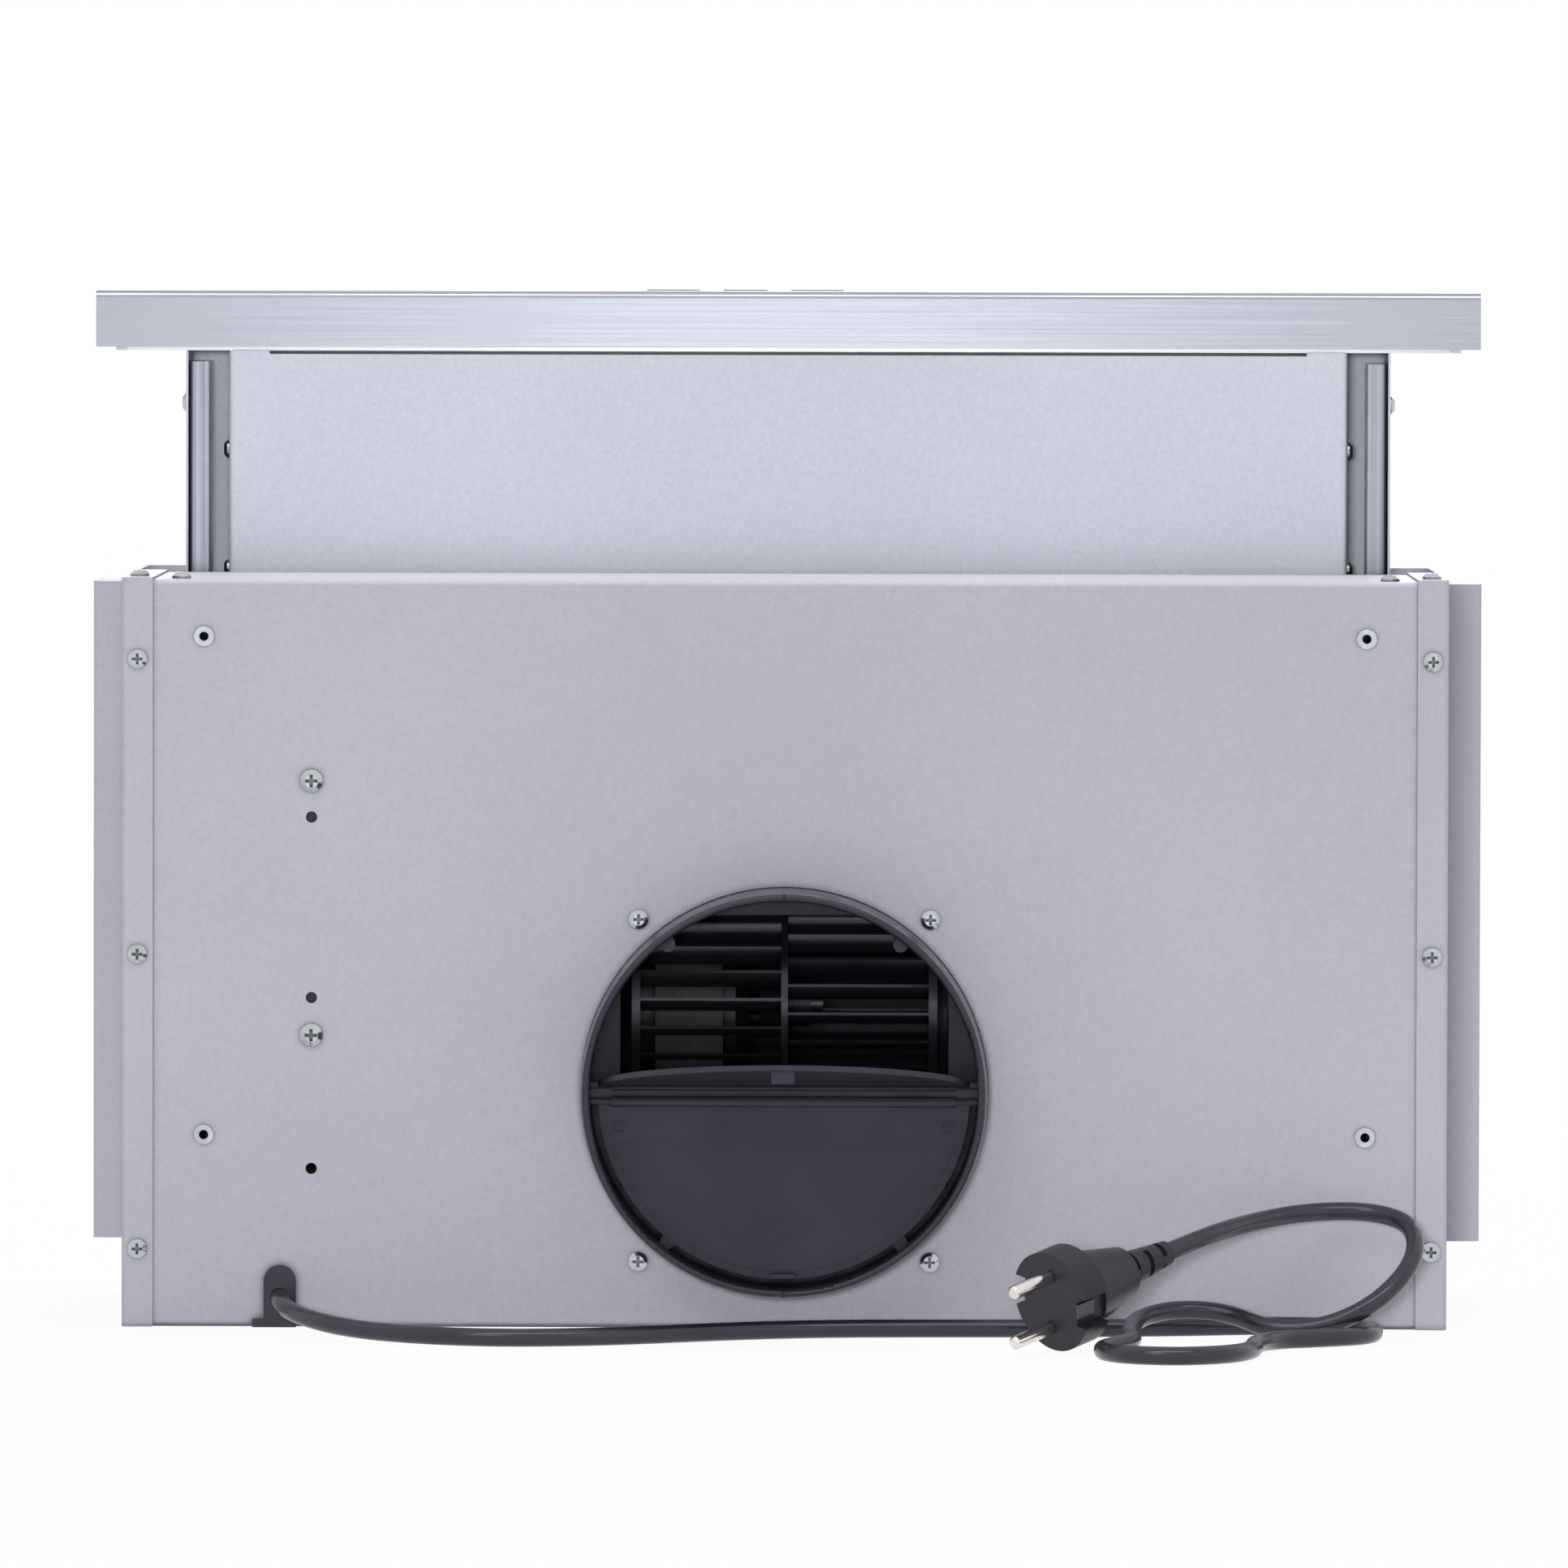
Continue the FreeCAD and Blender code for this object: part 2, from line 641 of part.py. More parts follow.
def make_flap(name, side):
    """Half-round flap on its pins; modelled shut about its pivot, then swung to where it rests."""
    away = flap_radius + cut_margin
    disc = rod(f"flap_disc_{name}", 0, -flap_wall / 2, -side * flap_pivot_half, "Y", flap_radius, flap_wall)
    low, high = (0, away) if side > 0 else (-away, 0)
    half = box(f"flap_half_{name}", -away, -flap_wall, low, away, flap_wall, high)
    plate = DOC.addObject("Part::MultiCommon", f"flap_plate_{name}")
    plate.Shapes = [disc, half]
    barrel = rod(f"flap_barrel_{name}", -flap_barrel_half, 0, 0, "X", flap_barrel, 2 * flap_barrel_half)
    pin = rod(f"flap_pin_{name}", -flap_pin_reach, 0, 0, "X", flap_pin, 2 * flap_pin_reach)
    edge = flap_radius - flap_pivot_half - flap_tab_wall / 2
    inner_edge, outer_edge = (edge - flap_tab_wall, edge) if side > 0 else (-edge, flap_tab_wall - edge)
    tab = box(f"flap_tab_{name}", -flap_tab_half, -flap_wall / 2 - flap_tab_height, inner_edge,
              flap_tab_half, 0, outer_edge)
    whole = join(f"flap_{name}_join", plate, barrel, pin, tab)
    field = rod(f"flap_field_{name}", 0, -flap_wall / 2, -side * flap_pivot_half, "Y",
                flap_radius - flap_border, flap_field_depth)
    low, high = (flap_field_start, away) if side > 0 else (-away, -flap_field_start)
    below = box(f"flap_below_{name}", -away, -flap_wall, low, away, 0, high)
    sunk = DOC.addObject("Part::MultiCommon", f"flap_sunk_{name}")
    sunk.Shapes = [field, below]
    marks = [rod(f"flap_mark_{name}_{i}", x, -flap_wall / 2, side * z, "Y", flap_mark, 2 * flap_field_depth)
             for i, (x, z) in enumerate(((-flap_mark_x, flap_mark_z), (flap_mark_x, flap_mark_z),
                                         (0, flap_mark_far)))]
    flap = cut(f"flap_{name}_cut", whole, sunk, *marks)
    swing = flap_open_angle if side > 0 else 0
    place(flap, 0, pivot_y, collar_z + side * flap_pivot_half,
          FreeCAD.Rotation(Vector(1, 0, 0), num(swing)))
    if isinstance(swing, Size):
        flap.setExpression("Placement.Rotation.Angle", swing.text)
    return piece(flap, f"flap_{name}")


def scroll_wire(grow):
    """The scroll's outline in the YZ plane at x = 0: outlet walls, tongue and three widening arcs."""
    y0, z0 = num(axis_y), num(wheel_axis_z)
    top = num(collar_floor)

    def at(angle, radius):
        turn = math.radians(angle)
        return Vector(0, y0 - radius * math.cos(turn), z0 + radius * math.sin(turn))

    mouth = num(tongue_z)
    near = num(wheel_radius) + num(tongue_gap)
    tongue_angle = math.degrees(math.asin(mouth / near))
    front, under, rear = num(scroll_front), num(scroll_under), num(scroll_rear)
    tongue = at(tongue_angle, near)
    edges = [
        Part.makeLine(Vector(0, top, z0 + mouth), tongue),
        Part.Arc(tongue, at((tongue_angle + 90) / 2, (near + front) / 2), at(90, front)).toShape(),
        Part.Arc(at(90, front), at(135, (front + under) / 2), at(180, under)).toShape(),
        Part.Arc(at(180, under), at(225, (under + rear) / 2), at(270, rear)).toShape(),
        Part.makeLine(at(270, rear), Vector(0, top, z0 - rear)),
        Part.makeLine(Vector(0, top, z0 - rear), Vector(0, top, z0 + mouth)),
    ]
    wire = Part.Wire(edges)
    return wire.makeOffset2D(grow) if grow else wire


def make_housing_half(name, side):
    """Half of the clamshell scroll: cheek with inlet lip, half of the wrap wall, outlet flange."""
    wall, half = num(housing_wall), num(housing_half)
    reach = Vector(side * half, 0, 0)
    outer = Part.Face(scroll_wire(wall)).extrude(reach)
    inner = Part.Face(scroll_wire(0)).extrude(Vector(side * (half - wall), 0, 0))
    top, y0, z0 = num(collar_floor), num(axis_y), num(wheel_axis_z)
    above = Part.makeBox(4 * half, 2 * half, 8 * half, Vector(-2 * half, top - 2 * half, -4 * half + z0))
    wide, tall = num(collar_flange_x), num(collar_flange_z)
    low = num(collar_z) - tall
    flange = Part.makeBox(wide, wall, 2 * tall, Vector(0 if side > 0 else -wide, top, low))
    throat = Part.makeBox(half - wall, 2 * wall, num(scroll_rear) + num(tongue_z),
                          Vector(0 if side > 0 else -(half - wall), top - wall, z0 - num(scroll_rear)))
    along = Vector(side, 0, 0)
    seat = Vector(side * (half - wall), y0, z0)
    inlet = num(inlet_radius)
    lip = Part.makeCylinder(inlet + wall, wall + num(inlet_lip), seat, along)
    hole = Part.makeCylinder(inlet, 3 * wall + num(inlet_lip), Vector(side * (half - 2 * wall), y0, z0), along)
    shell = outer.fuse([flange, lip]).cut([inner, above, throat, hole])
    for x, z in collar_seats:
        if num(x) * side > 0:
            spot = Vector(num(x), top - wall, num(z))
            shell = shell.cut(Part.makeCylinder(num(screw_shank) + num(fit_gap), 3 * wall, spot, Vector(0, 1, 0)))
    item = DOC.addObject("Part::Feature", f"blower_housing_{name}_shape")
    item.Shape = shell.removeSplitter()
    return piece(item, f"blower_housing_{name}")


def blade_face():
    """One forward-curved blade's edge in the YZ plane, about the wheel's axis."""
    inner = num(blade_inner) + num(blade_inset)
    outer = num(wheel_radius) - num(blade_inset)
    lead, bow = math.radians(num(blade_lead)), math.radians(num(blade_bow))
    half = num(blade_wall) / 2

    def at(radius, angle):
        return Vector(0, -radius * math.cos(angle), radius * math.sin(angle))

    rows = []
    for shift in (-half, half):
        rows.append([at(inner, shift / inner), at((inner + outer) / 2, bow + shift / inner),
                     at(outer, lead + shift / outer)])
    near, far = rows
    edges = [
        Part.Arc(near[0], near[1], near[2]).toShape(),
        Part.makeLine(near[2], far[2]),
        Part.Arc(far[2], far[1], far[0]).toShape(),
        Part.makeLine(far[0], near[0]),
    ]
    return Part.Face(Part.Wire(edges))


def make_wheel():
    """Double-inlet wheel: centre disc, two staggered crowns of blades, end rings and hub."""
    rim, width, disc = num(wheel_radius), num(wheel_half), num(wheel_disc_wall) / 2
    along = Vector(1, 0, 0)
    ring = num(wheel_ring_width)
    solid = Part.makeCylinder(rim, 2 * disc, Vector(-disc, 0, 0), along)
    extras = [Part.makeCylinder(num(hub_radius), 2 * num(hub_half), Vector(-num(hub_half), 0, 0), along)]
    pitch = 360 / blade_count
    for side in (-1, 1):
        start = Vector(side * (width - ring / 2) - ring / 2, 0, 0)
        hoop = Part.makeCylinder(rim, ring, start, along)
        extras.append(hoop.cut(Part.makeCylinder(num(blade_inner), ring, start, along)))
        blade = blade_face().extrude(Vector(side * (width - ring), 0, 0))
        for i in range(blade_count):
            copy = blade.copy()
            copy.rotate(Vector(0, 0, 0), along, (i + (0.5 if side > 0 else 0)) * pitch)
            extras.append(copy)
    bore = Part.makeCylinder(num(shaft_radius) + num(run_gap), 4 * num(hub_half),
                             Vector(-2 * num(hub_half), 0, 0), along)
    item = DOC.addObject("Part::Feature", "blower_wheel_shape")
    item.Shape = solid.fuse(extras).removeSplitter().cut(bore)
    place(item, 0, axis_y, wheel_axis_z)
    return piece(item, "blower_wheel")


def make_motor():
    """Motor inside the wheel's left crown: laminated stator, two end covers, shaft and spider bracket."""
    shaft_hole = shaft_radius + run_gap
    stack = rod("stator_stack", -stator_start, axis_y, wheel_axis_z, "X", stator_radius,
                stator_start - stator_end)
    bore = rod("stator_bore", -stator_start - cut_margin, axis_y, wheel_axis_z, "X",
               shaft_radius + loose_gap, stator_start - stator_end + 2 * cut_margin)
    piece(cut("motor_stator_cut", stack, bore), "motor_stator")
    covers = {
        "outer": (-motor_tail, motor_tail - stator_start, -motor_tail),
        "inner": (-stator_end, stator_end - motor_nose, -motor_nose - bearing_boss / 2),
    }
    for name, (start, length, boss) in covers.items():
        bell = rod(f"bell_{name}", start, axis_y, wheel_axis_z, "X", motor_radius, length)
        hole = rod(f"bell_hole_{name}", start - cut_margin, axis_y, wheel_axis_z, "X", shaft_hole,
                   length + 2 * cut_margin)
        bell_edge = DOC.addObject("Part::Chamfer", f"bell_edge_{name}")
        bell_edge.Base = bell
        DOC.recompute()
        x_face = num(start) if name == "outer" else num(start) + num(length)
        index = [i + 1 for i, e in enumerate(bell.Shape.Edges)
                 if e.Closed and abs(e.CenterOfMass.x - x_face) < 1e-3 and e.Length > 1][0]
        bell_edge.Edges = [(index, num(length) / 2, num(length) / 2)]
        piece(cut(f"motor_end_cover_{name}_cut", bell_edge, hole), f"motor_end_cover_{name}")
    shaft = rod("motor_shaft_rod", -motor_tail - bearing_boss, axis_y, wheel_axis_z, "X", shaft_radius,
                motor_tail + bearing_boss + hub_half + bearing_boss / 2)
    piece(shaft, "motor_shaft")


def make_motor_bracket():
    """Three-armed spider that carries the motor in the left inlet."""
    lip_x = -housing_half - inlet_lip
    inner_x = lip_x - bracket_wall
    ring = rod("bracket_ring_disc", inner_x, axis_y, wheel_axis_z, "X", bracket_ring, bracket_wall)
    hollow = rod("bracket_ring_hole", inner_x - cut_margin, axis_y, wheel_axis_z, "X", inlet_radius,
                 bracket_wall + 2 * cut_margin)
    hoop = cut("bracket_hoop", ring, hollow)
    arms = []
    for i in range(3):
        arm = DOC.addObject("Part::Box", f"bracket_arm_{i}")
        bind(arm, "Length", bracket_wall)
        bind(arm, "Width", bracket_arm)
        bind(arm, "Height", bracket_ring - bracket_wall)
        turn = FreeCAD.Rotation(Vector(1, 0, 0), 120 * i)
        shift = turn.multVec(Vector(0, -num(bracket_arm) / 2, 0))
        place(arm, inner_x, axis_y + shift.y, wheel_axis_z + shift.z, turn)
        arms.append(arm)
    hub = rod("bracket_hub_disc", inner_x, axis_y, wheel_axis_z, "X", bracket_hub,
              -motor_tail - inner_x)
    hole = rod("bracket_hub_hole", inner_x - cut_margin, axis_y, wheel_axis_z, "X",
               shaft_radius + loose_gap, -motor_tail - inner_x + 2 * cut_margin)
    spider = join("bracket_spider", hoop, hub, *arms)
    return piece(cut("motor_bracket_cut", spider, hole), "motor_bracket")


make_collar()
make_flap("upper", 1)
make_flap("lower", -1)
for side_name, side_sign in SIDES.items():
    make_housing_half(side_name, side_sign)
make_wheel()
make_motor()
make_motor_bracket()


# Driving dimensions: drawer

panel_half = size("panel_half", 201.5)
panel_drop = size("panel_drop", 44)
panel_rear = size("panel_rear", 185)
panel_notch_half = size("panel_notch_half", 187)
panel_notch = size("panel_notch", 1.2)
drawer_half = size("drawer_half", 217.4)
drawer_rear = size("drawer_rear", 110)
drawer_wall_drop = size("drawer_wall_drop", 47)
upstand_drop = size("upstand_drop", 60)
channel_floor = size("channel_floor", 86.8)
rail_web = size("rail_web", 25)
rail_flange = size("rail_flange", 13)
drawer_screw_drop = size("drawer_screw_drop", 66)
drawer_screw_low = size("drawer_screw_low", 264.5)
drawer_screw_high = size("drawer_screw_high", 307.7)
slide_top = size("slide_top", 50)
slide_height = size("slide_height", 32)
slide_thick = size("slide_thick", 7.4)
slide_wall = size("slide_wall", 1.2)
slide_bend = size("slide_bend", 0.6)
slide_front_gap = size("slide_front_gap", 4)
slide_fixed_rear = size("slide_fixed_rear", 20)
slide_fixed_front = size("slide_fixed_front", 255)
ball_radius = size("ball_radius", 1.15)
ball_pitch = size("ball_pitch", 24)
cage_length = size("cage_length", 60)
cage_rear = size("cage_rear", 152)
cage_wall = size("cage_wall", 0.4)
cage_strip = size("cage_strip", 1.2)
slide_screw_first = size("slide_screw_first", 15)
slide_screw_pitch = size("slide_screw_pitch", 100)
bracket_top = size("bracket_top", 36)
bracket_drop = size("bracket_drop", 60)

# Driving dimensions: front bar and controls

bar_length = size("bar_length", 500)
bar_back = size("bar_back", 344.8)
bar_bend = size("bar_bend", 1.6)
bar_thick = size("bar_thick", 20.6)
bar_top = size("bar_top", 50)
bar_height = size("bar_height", 46)
bar_wall = size("bar_wall", 1)
back_plate_wall = size("back_plate_wall", 1.2)
back_plate_inset = size("back_plate_inset", 7)
back_plate_chamfer = size("back_plate_chamfer", 4)
button_height = size("button_height", 9)
button_proud = size("button_proud", 0.4)
button_depth = size("button_depth", 11)
button_travel = size("button_travel", 1.5)
button_round = size("button_round", 1)
button_wide = size("button_wide", 19)
button_narrow = size("button_narrow", 16)
button_gap = size("button_gap", 8.6)
button_middle = size("button_middle", -15.7)
switch_margin = size("switch_margin", 4)
switch_depth = size("switch_depth", 17)

# Driving dimensions: filters and lamps

filter_rim = size("filter_rim", 12)
filter_thick = size("filter_thick", 8)
mesh_thick = size("mesh_thick", 2.4)
latch_half = size("latch_half", 16)
latch_depth = size("latch_depth", 9)
latch_travel = size("latch_travel", 3)
latch_tongue_half = size("latch_tongue_half", 8)
latch_tongue = size("latch_tongue", 2.4)
latch_tongue_reach = size("latch_tongue_reach", 2)
lamp_panel_depth = size("lamp_panel_depth", 60)
lamp_panel_height = size("lamp_panel_height", 8)
lamp_spacing = size("lamp_spacing", 220)
lamp_radius = size("lamp_radius", 22)
lamp_rim = size("lamp_rim", 3)
lamp_height = size("lamp_height", 6)
DOC.recompute()

back_plate_z = bar_back - back_plate_wall
slide_out = drawer_half - sheet_wall
slide_in = slide_out - slide_thick
ball_gap = 2 * (ball_radius + run_gap)
slide_low = slide_top + slide_height


def channel(label, path, wall, bend, rear, front, side):
    """A folded strip along the hood's depth, from a path of distances to the side and down."""
    body = new_body(label)
    section = new_sketch(body, "XY_Plane", rear)
    turned = [(side * x, y) for x, y in path]
    fold(section, turned if side < 0 else turned[::-1], wall, bend)
    pad(body, section, front - rear)
    return body


def pierce(body, side, x, spots, radius):
    """Round holes along X through a side wall at the given (y, z) spots."""
    sketch = new_sketch(body, "YZ_Plane", side * (x + cut_margin))
    for y, z in spots:
        circle(sketch, y, z, radius)
    pocket(body, sketch, 2 * cut_margin + 2 * slide_wall, reverse=side < 0)


drawer_screw_spots = [(drawer_screw_drop, z) for z in (drawer_screw_low, drawer_screw_high)]
slide_screw_y = slide_top + slide_height / 2
slide_moving_front = back_plate_z - slide_front_gap
slide_screw_spots = [(slide_screw_y, slide_moving_front - slide_screw_first - i * slide_screw_pitch)
                     for i in range(3)]


def make_drawer_panel():
    """Top sheet of the drawer with its two edges folded down."""
    body = new_body("drawer_panel")
    section = new_sketch(body, "XY_Plane", panel_rear)
    low = channel_floor - sheet_wall - loose_gap
    path = [(-panel_half, low), (-panel_half, panel_drop), (panel_half, panel_drop), (panel_half, low)]
    fold(section, path, sheet_wall, bend_inside)
    pad(body, section, back_plate_z - panel_rear)
    notch = new_sketch(body, "XZ_Plane", -panel_drop + cut_margin)
    rectangle(notch, -panel_notch_half, back_plate_z - panel_notch, panel_notch_half, back_plate_z + cut_margin)
    pocket(body, notch, cut_margin + sheet_wall + loose_gap)
    for side in (-1, 1):
        pierce(body, side, panel_half, drawer_screw_spots, screw_shank + fit_gap)
    return piece(body, "drawer_panel")


def make_drawer_side(name, side):
    """Channel beside the panel: upstand, floor and outer wall."""
    path = [(panel_half, upstand_drop), (panel_half, channel_floor), (drawer_half, channel_floor),
            (drawer_half, drawer_wall_drop)]
    body = channel(f"drawer_side_{name}", path, sheet_wall, bend_inside, drawer_rear, back_plate_z, side)
    pierce(body, side, drawer_half, slide_screw_spots, screw_shank + fit_gap)
    pierce(body, side, panel_half + sheet_wall, drawer_screw_spots, screw_shank + fit_gap)
    return piece(body, f"drawer_side_{name}")


def make_slide(name, side):
    """Two-part ball slide: drawer member, body member on its bracket, and the ball cage between them."""
    path = [(slide_in, slide_low), (slide_out, slide_low), (slide_out, slide_top), (slide_in, slide_top)]
    moving = channel(f"slide_moving_{name}", path, slide_wall, slide_bend, drawer_rear, slide_moving_front, side)
    pierce(moving, side, slide_out, slide_screw_spots, screw_shank + fit_gap)
    piece(moving, f"slide_moving_{name}")
    tip = slide_out - slide_wall - cage_wall - 2 * loose_gap
    back = slide_in - loose_gap
    high, low = slide_top + slide_wall + ball_gap, slide_low - slide_wall - ball_gap
    path = [(tip, high), (back, high), (back, low), (tip, low)]
    fixed = channel(f"slide_fixed_{name}", path, slide_wall, slide_bend, slide_fixed_rear, slide_fixed_front, side)
    piece(fixed, f"slide_fixed_{name}")
    leg = back - slide_wall
    path = [(inner_half, bracket_drop), (inner_half, bracket_top), (leg, bracket_top), (leg, low)]
    bracket = channel(f"rail_bracket_{name}", path, slide_wall, slide_bend, slide_fixed_rear,
                      slide_fixed_front, side)
    piece(bracket, f"rail_bracket_{name}")
    make_ball_cage(name, side, tip, back)


def make_ball_cage(name, side, tip, back):
    """Bent strip that spaces two rows of balls between the slide's members."""
    web_x = tip + loose_gap
    upper = slide_top + slide_wall + ball_gap / 2
    lower = slide_low - slide_wall - ball_gap / 2
    front = cage_rear + cage_length
    ends = sorted((side * web_x, side * (web_x + cage_wall)), key=num)
    shapes = [box(f"cage_web_{name}", ends[0], upper, cage_rear, ends[1], lower, front)]
    strip = sorted((side * (back + slide_wall), side * (web_x + cage_wall)), key=num)
    ball_x = side * (back + tip) / 2
    count = int(num(cage_length) / num(ball_pitch))
    for row, y in (("upper", upper), ("lower", lower)):
        shapes.append(box(f"cage_{row}_{name}", strip[0], y - cage_strip / 2, cage_rear,
                          strip[1], y + cage_strip / 2, front))
        for i in range(count):
            ball = DOC.addObject("Part::Sphere", f"ball_{row}_{name}")
            bind(ball, "Radius", ball_radius)
            place(ball, ball_x, y, cage_rear + (i + 0.5) * ball_pitch)
            shapes.append(ball)
    piece(join(f"ball_cage_{name}_join", *shapes), f"ball_cage_{name}")


def make_rear_rail():
    """Angle that ties the drawer's two sides and carries the drawer filter's rear edge."""
    body = new_body("drawer_rear_rail")
    section = new_sketch(body, "YZ_Plane", -panel_half)
    path = [(channel_floor, drawer_rear + rail_flange), (channel_floor, drawer_rear),
            (channel_floor - rail_web, drawer_rear)]
    fold(section, path[::-1], sheet_wall, bend_inside)
    pad(body, section, 2 * panel_half)
    return piece(body, "drawer_rear_rail")


button_y = bar_top + bar_height / 2
bar_front = bar_back + bar_thick
buttons = {
    "button_light": (button_middle - button_narrow / 2 - button_gap - button_wide / 2, button_wide),
    "button_speed_low": (button_middle, button_narrow),
    "button_speed_high": (button_middle + button_narrow / 2 + button_gap + button_wide / 2, button_wide),
}


def button_outline(sketch, name, grow):
    x, width = buttons[name]
    rectangle(sketch, x - width / 2 - grow, button_y - button_height / 2 - grow,
              x + width / 2 + grow, button_y + button_height / 2 + grow, button_round)


def make_front_bar():
    """Folded bar with closed ends and cut-outs for the buttons."""
    body = new_body("front_bar")
    low, start = bar_top + bar_height, -bar_length / 2
    section = new_sketch(body, "YZ_Plane", start)
    fold(section, [(low, bar_back), (low, bar_front), (bar_top, bar_front), (bar_top, bar_back)],
         bar_wall, bar_bend)
    pad(body, section, bar_length)
    rounds = {2: bar_bend + bar_wall, 3: bar_bend + bar_wall}
    for x in (start, -start - bar_wall):
        end = new_sketch(body, "YZ_Plane", x)
        outline(end, [(bar_top, bar_back), (low, bar_back), (low, bar_front), (bar_top, bar_front)], rounds)
        pad(body, end, bar_wall)
    holes = new_sketch(body, "XY_Plane", bar_front + cut_margin)
    for name in buttons:
        button_outline(holes, name, loose_gap)
    pocket(body, holes, cut_margin + bar_wall + loose_gap)
    return piece(body, "front_bar")


def make_back_plate():
    """Plate that closes the bar's back, with clipped ends and a slot for the drawer filter's latch."""
    body = new_body("bar_back_plate")
    sketch = new_sketch(body, "XY_Plane", back_plate_z)
    reach = bar_length / 2 - back_plate_inset
    high, low = bar_top + bar_wall, bar_top + bar_height - bar_wall
    clip = back_plate_chamfer
    outline(sketch, [(-reach, high + clip), (-reach + clip, high), (reach - clip, high), (reach, high + clip),
                     (reach, low - clip), (reach - clip, low), (clip - reach, low), (-reach, low - clip)])
    slot_y = channel_floor - sheet_wall - filter_thick / 2
    grow = loose_gap
    rectangle(sketch, -latch_tongue_half - grow, slot_y - latch_tongue / 2 - grow,
              latch_tongue_half + grow, slot_y + latch_tongue / 2 + grow)
    pad(body, sketch, back_plate_wall)
    return piece(body, "bar_back_plate")


def make_controls():
    """Switch block behind the bar's face and the push buttons that run in its pockets."""
    block = new_body("switch_block")
    first, last = buttons["button_light"], buttons["button_speed_high"]
    face_z = bar_front - bar_wall
    sketch = new_sketch(block, "XY_Plane", face_z)
    rectangle(sketch, first[0] - first[1] / 2 - switch_margin, button_y - button_height / 2 - switch_margin,
              last[0] + last[1] / 2 + switch_margin, button_y + button_height / 2 + switch_margin)
    pad(block, sketch, switch_depth, reverse=True)
    holes = new_sketch(block, "XY_Plane", face_z)
    for name in buttons:
        button_outline(holes, name, loose_gap)
    pocket(block, holes, button_depth + button_travel)
    piece(block, "switch_block")
    for name in buttons:
        body = new_body(name)
        cap = new_sketch(body, "XY_Plane", bar_front + button_proud)
        button_outline(cap, name, 0)
        pad(body, cap, button_depth, reverse=True)
        piece(body, name)


def make_filter(name, half, drop, rear, front):
    """Framed grease filter with its mesh pad and a spring latch at the front edge."""
    low, high = drop, drop - filter_thick
    frame = new_body(f"{name}_filter_frame")
    sketch = new_sketch(frame, "XZ_Plane", -high)
    rectangle(sketch, -half, rear, half, front)
    pad(frame, sketch, filter_thick, reverse=True)
    window = new_sketch(frame, "XZ_Plane", -high + cut_margin)
    rectangle(window, filter_rim - half, rear + filter_rim, half - filter_rim, front - filter_rim)
    pocket(frame, window, filter_thick + 2 * cut_margin)
    cell = new_sketch(frame, "XZ_Plane", -low - cut_margin)
    pocket_rear = front - filter_rim + bar_wall
    rectangle(cell, -latch_half - loose_gap, pocket_rear, latch_half + loose_gap, front - bar_wall)
    pocket(frame, cell, cut_margin + filter_thick - bar_wall, reverse=True)
    mouth = new_sketch(frame, "XY_Plane", front + cut_margin)
    middle = low - filter_thick / 2
    rectangle(mouth, -latch_tongue_half - loose_gap, middle - latch_tongue / 2 - loose_gap,
              latch_tongue_half + loose_gap, middle + latch_tongue / 2 + loose_gap)
    pocket(frame, mouth, cut_margin + 2 * bar_wall)
    piece(frame, f"{name}_filter_frame")
    mesh = box(f"{name}_mesh_pad", filter_rim - half, middle - mesh_thick / 2, rear + filter_rim,
               half - filter_rim, middle + mesh_thick / 2, front - filter_rim)
    piece(mesh, f"{name}_filter_mesh")
    latch_front = front - bar_wall - loose_gap
    slider = box(f"{name}_latch_slider", -latch_half, high + bar_wall + loose_gap,
                 pocket_rear + latch_travel + loose_gap, latch_half, low, latch_front)
    tongue = box(f"{name}_latch_tongue", -latch_tongue_half, middle - latch_tongue / 2, latch_front - cut_margin,
                 latch_tongue_half, middle + latch_tongue / 2, front + latch_tongue_reach)
    piece(join(f"{name}_latch_join", slider, tongue), f"{name}_filter_latch")


lamp_panel_drop = under_drop - sheet_wall
lamp_panel_rear = skirt_front - lamp_panel_depth
lamp_z = skirt_front - lamp_panel_depth / 2


def make_lamps():
    """Front strip under the casing with two round lamps let into it."""
    body = new_body("lamp_panel")
    section = new_sketch(body, "YZ_Plane", -casing_half)
    high = lamp_panel_drop - lamp_panel_height
    path = [(high, skirt_front), (lamp_panel_drop, skirt_front), (lamp_panel_drop, lamp_panel_rear),
            (high, lamp_panel_rear)]
    fold(section, path[::-1], sheet_wall, bend_inside)
    pad(body, section, 2 * casing_half)
    holes = new_sketch(body, "XZ_Plane", -lamp_panel_drop - cut_margin)
    for side in (-1, 1):
        circle(holes, side * lamp_spacing / 2, lamp_z, lamp_radius + loose_gap)
    pocket(body, holes, cut_margin + sheet_wall + loose_gap, reverse=True)
    slot = new_sketch(body, "XY_Plane", lamp_panel_rear - cut_margin)
    middle = lamp_panel_drop - filter_thick / 2
    rectangle(slot, -latch_tongue_half - loose_gap, middle - latch_tongue / 2 - loose_gap,
              latch_tongue_half + loose_gap, middle + latch_tongue / 2 + loose_gap)
    pocket(body, slot, cut_margin + sheet_wall + loose_gap, reverse=True)
    piece(body, "lamp_panel")
    seat = lamp_panel_drop - sheet_wall
    for name, side in SIDES.items():
        x = side * lamp_spacing / 2
        can = rod(f"lamp_can_{name}", x, seat - lamp_height, lamp_z, "Y", lamp_radius + lamp_rim, lamp_height)
        well = rod(f"lamp_well_{name}", x, seat - lamp_height / 2, lamp_z, "Y", lamp_radius - lamp_rim,
                   lamp_height)
        piece(cut(f"lamp_housing_{name}_cut", can, well), f"lamp_housing_{name}")
        lens = rod(f"lamp_lens_{name}_disc", x, seat, lamp_z, "Y", lamp_radius, 2 * sheet_wall)
        piece(lens, f"lamp_lens_{name}")


